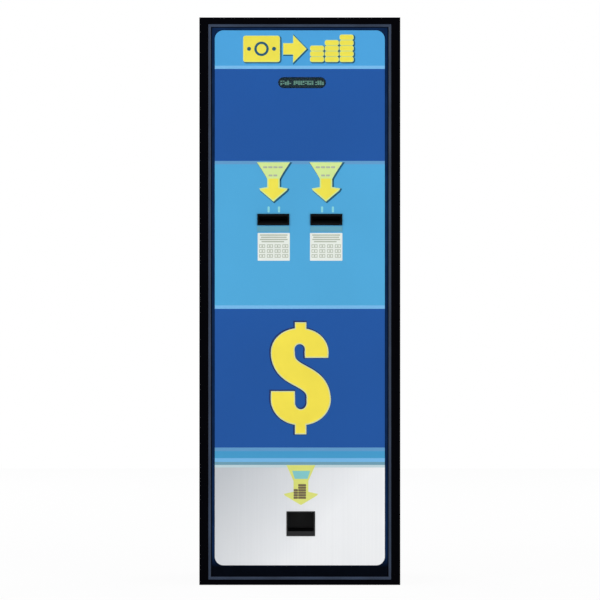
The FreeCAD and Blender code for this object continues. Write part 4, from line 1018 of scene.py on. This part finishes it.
floor_finish, floor_tree, floor_shader = new_finish("studio_floor", (0.86, 0.86, 0.87, 1), 0.85)
floor_clouds = noise(floor_tree, own_place(floor_tree), 1.5)
floor_tree.links.new(rerange(floor_tree, floor_clouds, 0.8, 0.9), floor_shader.inputs["Roughness"])
white = add_node(floor_tree, "ShaderNodeEmission", Color=(1, 1, 1, 1), Strength=1.0)
share = rerange(floor_tree, looked_at(floor_tree), 0.0, white_share)
blend = add_node(floor_tree, "ShaderNodeMixShader", i0=share, i1=floor_shader.outputs[0],
                 i2=white.outputs[0])
floor_tree.links.new(blend.outputs[0], floor_tree.nodes["Material Output"].inputs["Surface"])

floor_mesh = bpy.data.meshes.new("studio_floor")
floor_corners = [(-floor_half, -floor_half, 0), (floor_half, -floor_half, 0),
                 (floor_half, floor_half, 0), (-floor_half, floor_half, 0)]
floor_mesh.from_pydata(floor_corners, [], [(0, 1, 2, 3)])
floor_mesh.materials.append(floor_finish)
studio_floor = bpy.data.objects.new("studio_floor", floor_mesh)
bpy.context.scene.collection.objects.link(studio_floor)
print("floor", 2 * floor_half, "m square")

# %% [markdown]
# The light is soft and comes from the sides: a broad lamp to the left and right of the front, two more
# behind, and an even world. A flat front mirrors the side lamps away from the camera, so its colours
# stay clean. The world is bright where it is looked at and dimmer where it only lights the object.

# %% World and lamps
world = bpy.data.worlds.new("studio")
bpy.context.scene.world = world
world.use_nodes = True
backdrop = world.node_tree.nodes["Background"]
backdrop.inputs["Color"].default_value = (1, 1, 1, 1)
strength = rerange(world.node_tree, looked_at(world.node_tree), 0.55, 1.0)
world.node_tree.links.new(strength, backdrop.inputs["Strength"])


def add_lamp(name, place, aim, size, watts):
    """A rectangle of light at a place, turned to face its aim."""
    lamp = bpy.data.lights.new(name, "AREA")
    lamp.shape = "RECTANGLE"
    lamp.size, lamp.size_y = size
    lamp.energy = watts
    thing = bpy.data.objects.new(name, lamp)
    thing.location = place
    thing.rotation_euler = (Vector(aim) - Vector(place)).to_track_quat("-Z", "Y").to_euler()
    bpy.context.scene.collection.objects.link(thing)


middle_height = cabinet_height / 2
softbox = (2.2, 2.6)
for name, place, watts in (
    ("left_softbox", (-4.4, -4.6, 2.6), 130), ("right_softbox", (4.4, -4.6, 2.0), 110),
    ("back_left_softbox", (-3.4, 4.6, 2.6), 90), ("back_right_softbox", (4.0, 4.0, 2.2), 90),
):
    add_lamp(name, place, (0, 0, middle_height), softbox, watts)
    print(name, watts, "W")

# %% [markdown]
# The photograph looks straight at the front from far away, so the lens is long. The cabinet's middle
# lies a little left of and below the picture's middle, and the camera is moved by as much.

# %% Camera
camera_distance = 9.0
lens_data = bpy.data.cameras.new("front_camera")
camera = bpy.data.objects.new("front_camera", lens_data)
bpy.context.scene.collection.objects.link(camera)
aim_x = -(photo_middle - image_size / 2) * metres_per_pixel
aim_z = middle_height + ((photo_top + photo_bottom) / 2 - image_size / 2) * metres_per_pixel
camera.location = (aim_x, cabinet_low.y - camera_distance, aim_z)
camera.rotation_euler = (np.pi / 2, 0, 0)
lens_data.sensor_width = 36
lens_data.lens = lens_data.sensor_width * camera_distance / (image_size * metres_per_pixel)
lens_data.clip_end = 60
bpy.context.scene.camera = camera
bpy.context.scene.view_settings.view_transform = "Standard"
print("lens", round(lens_data.lens, 1), "mm")
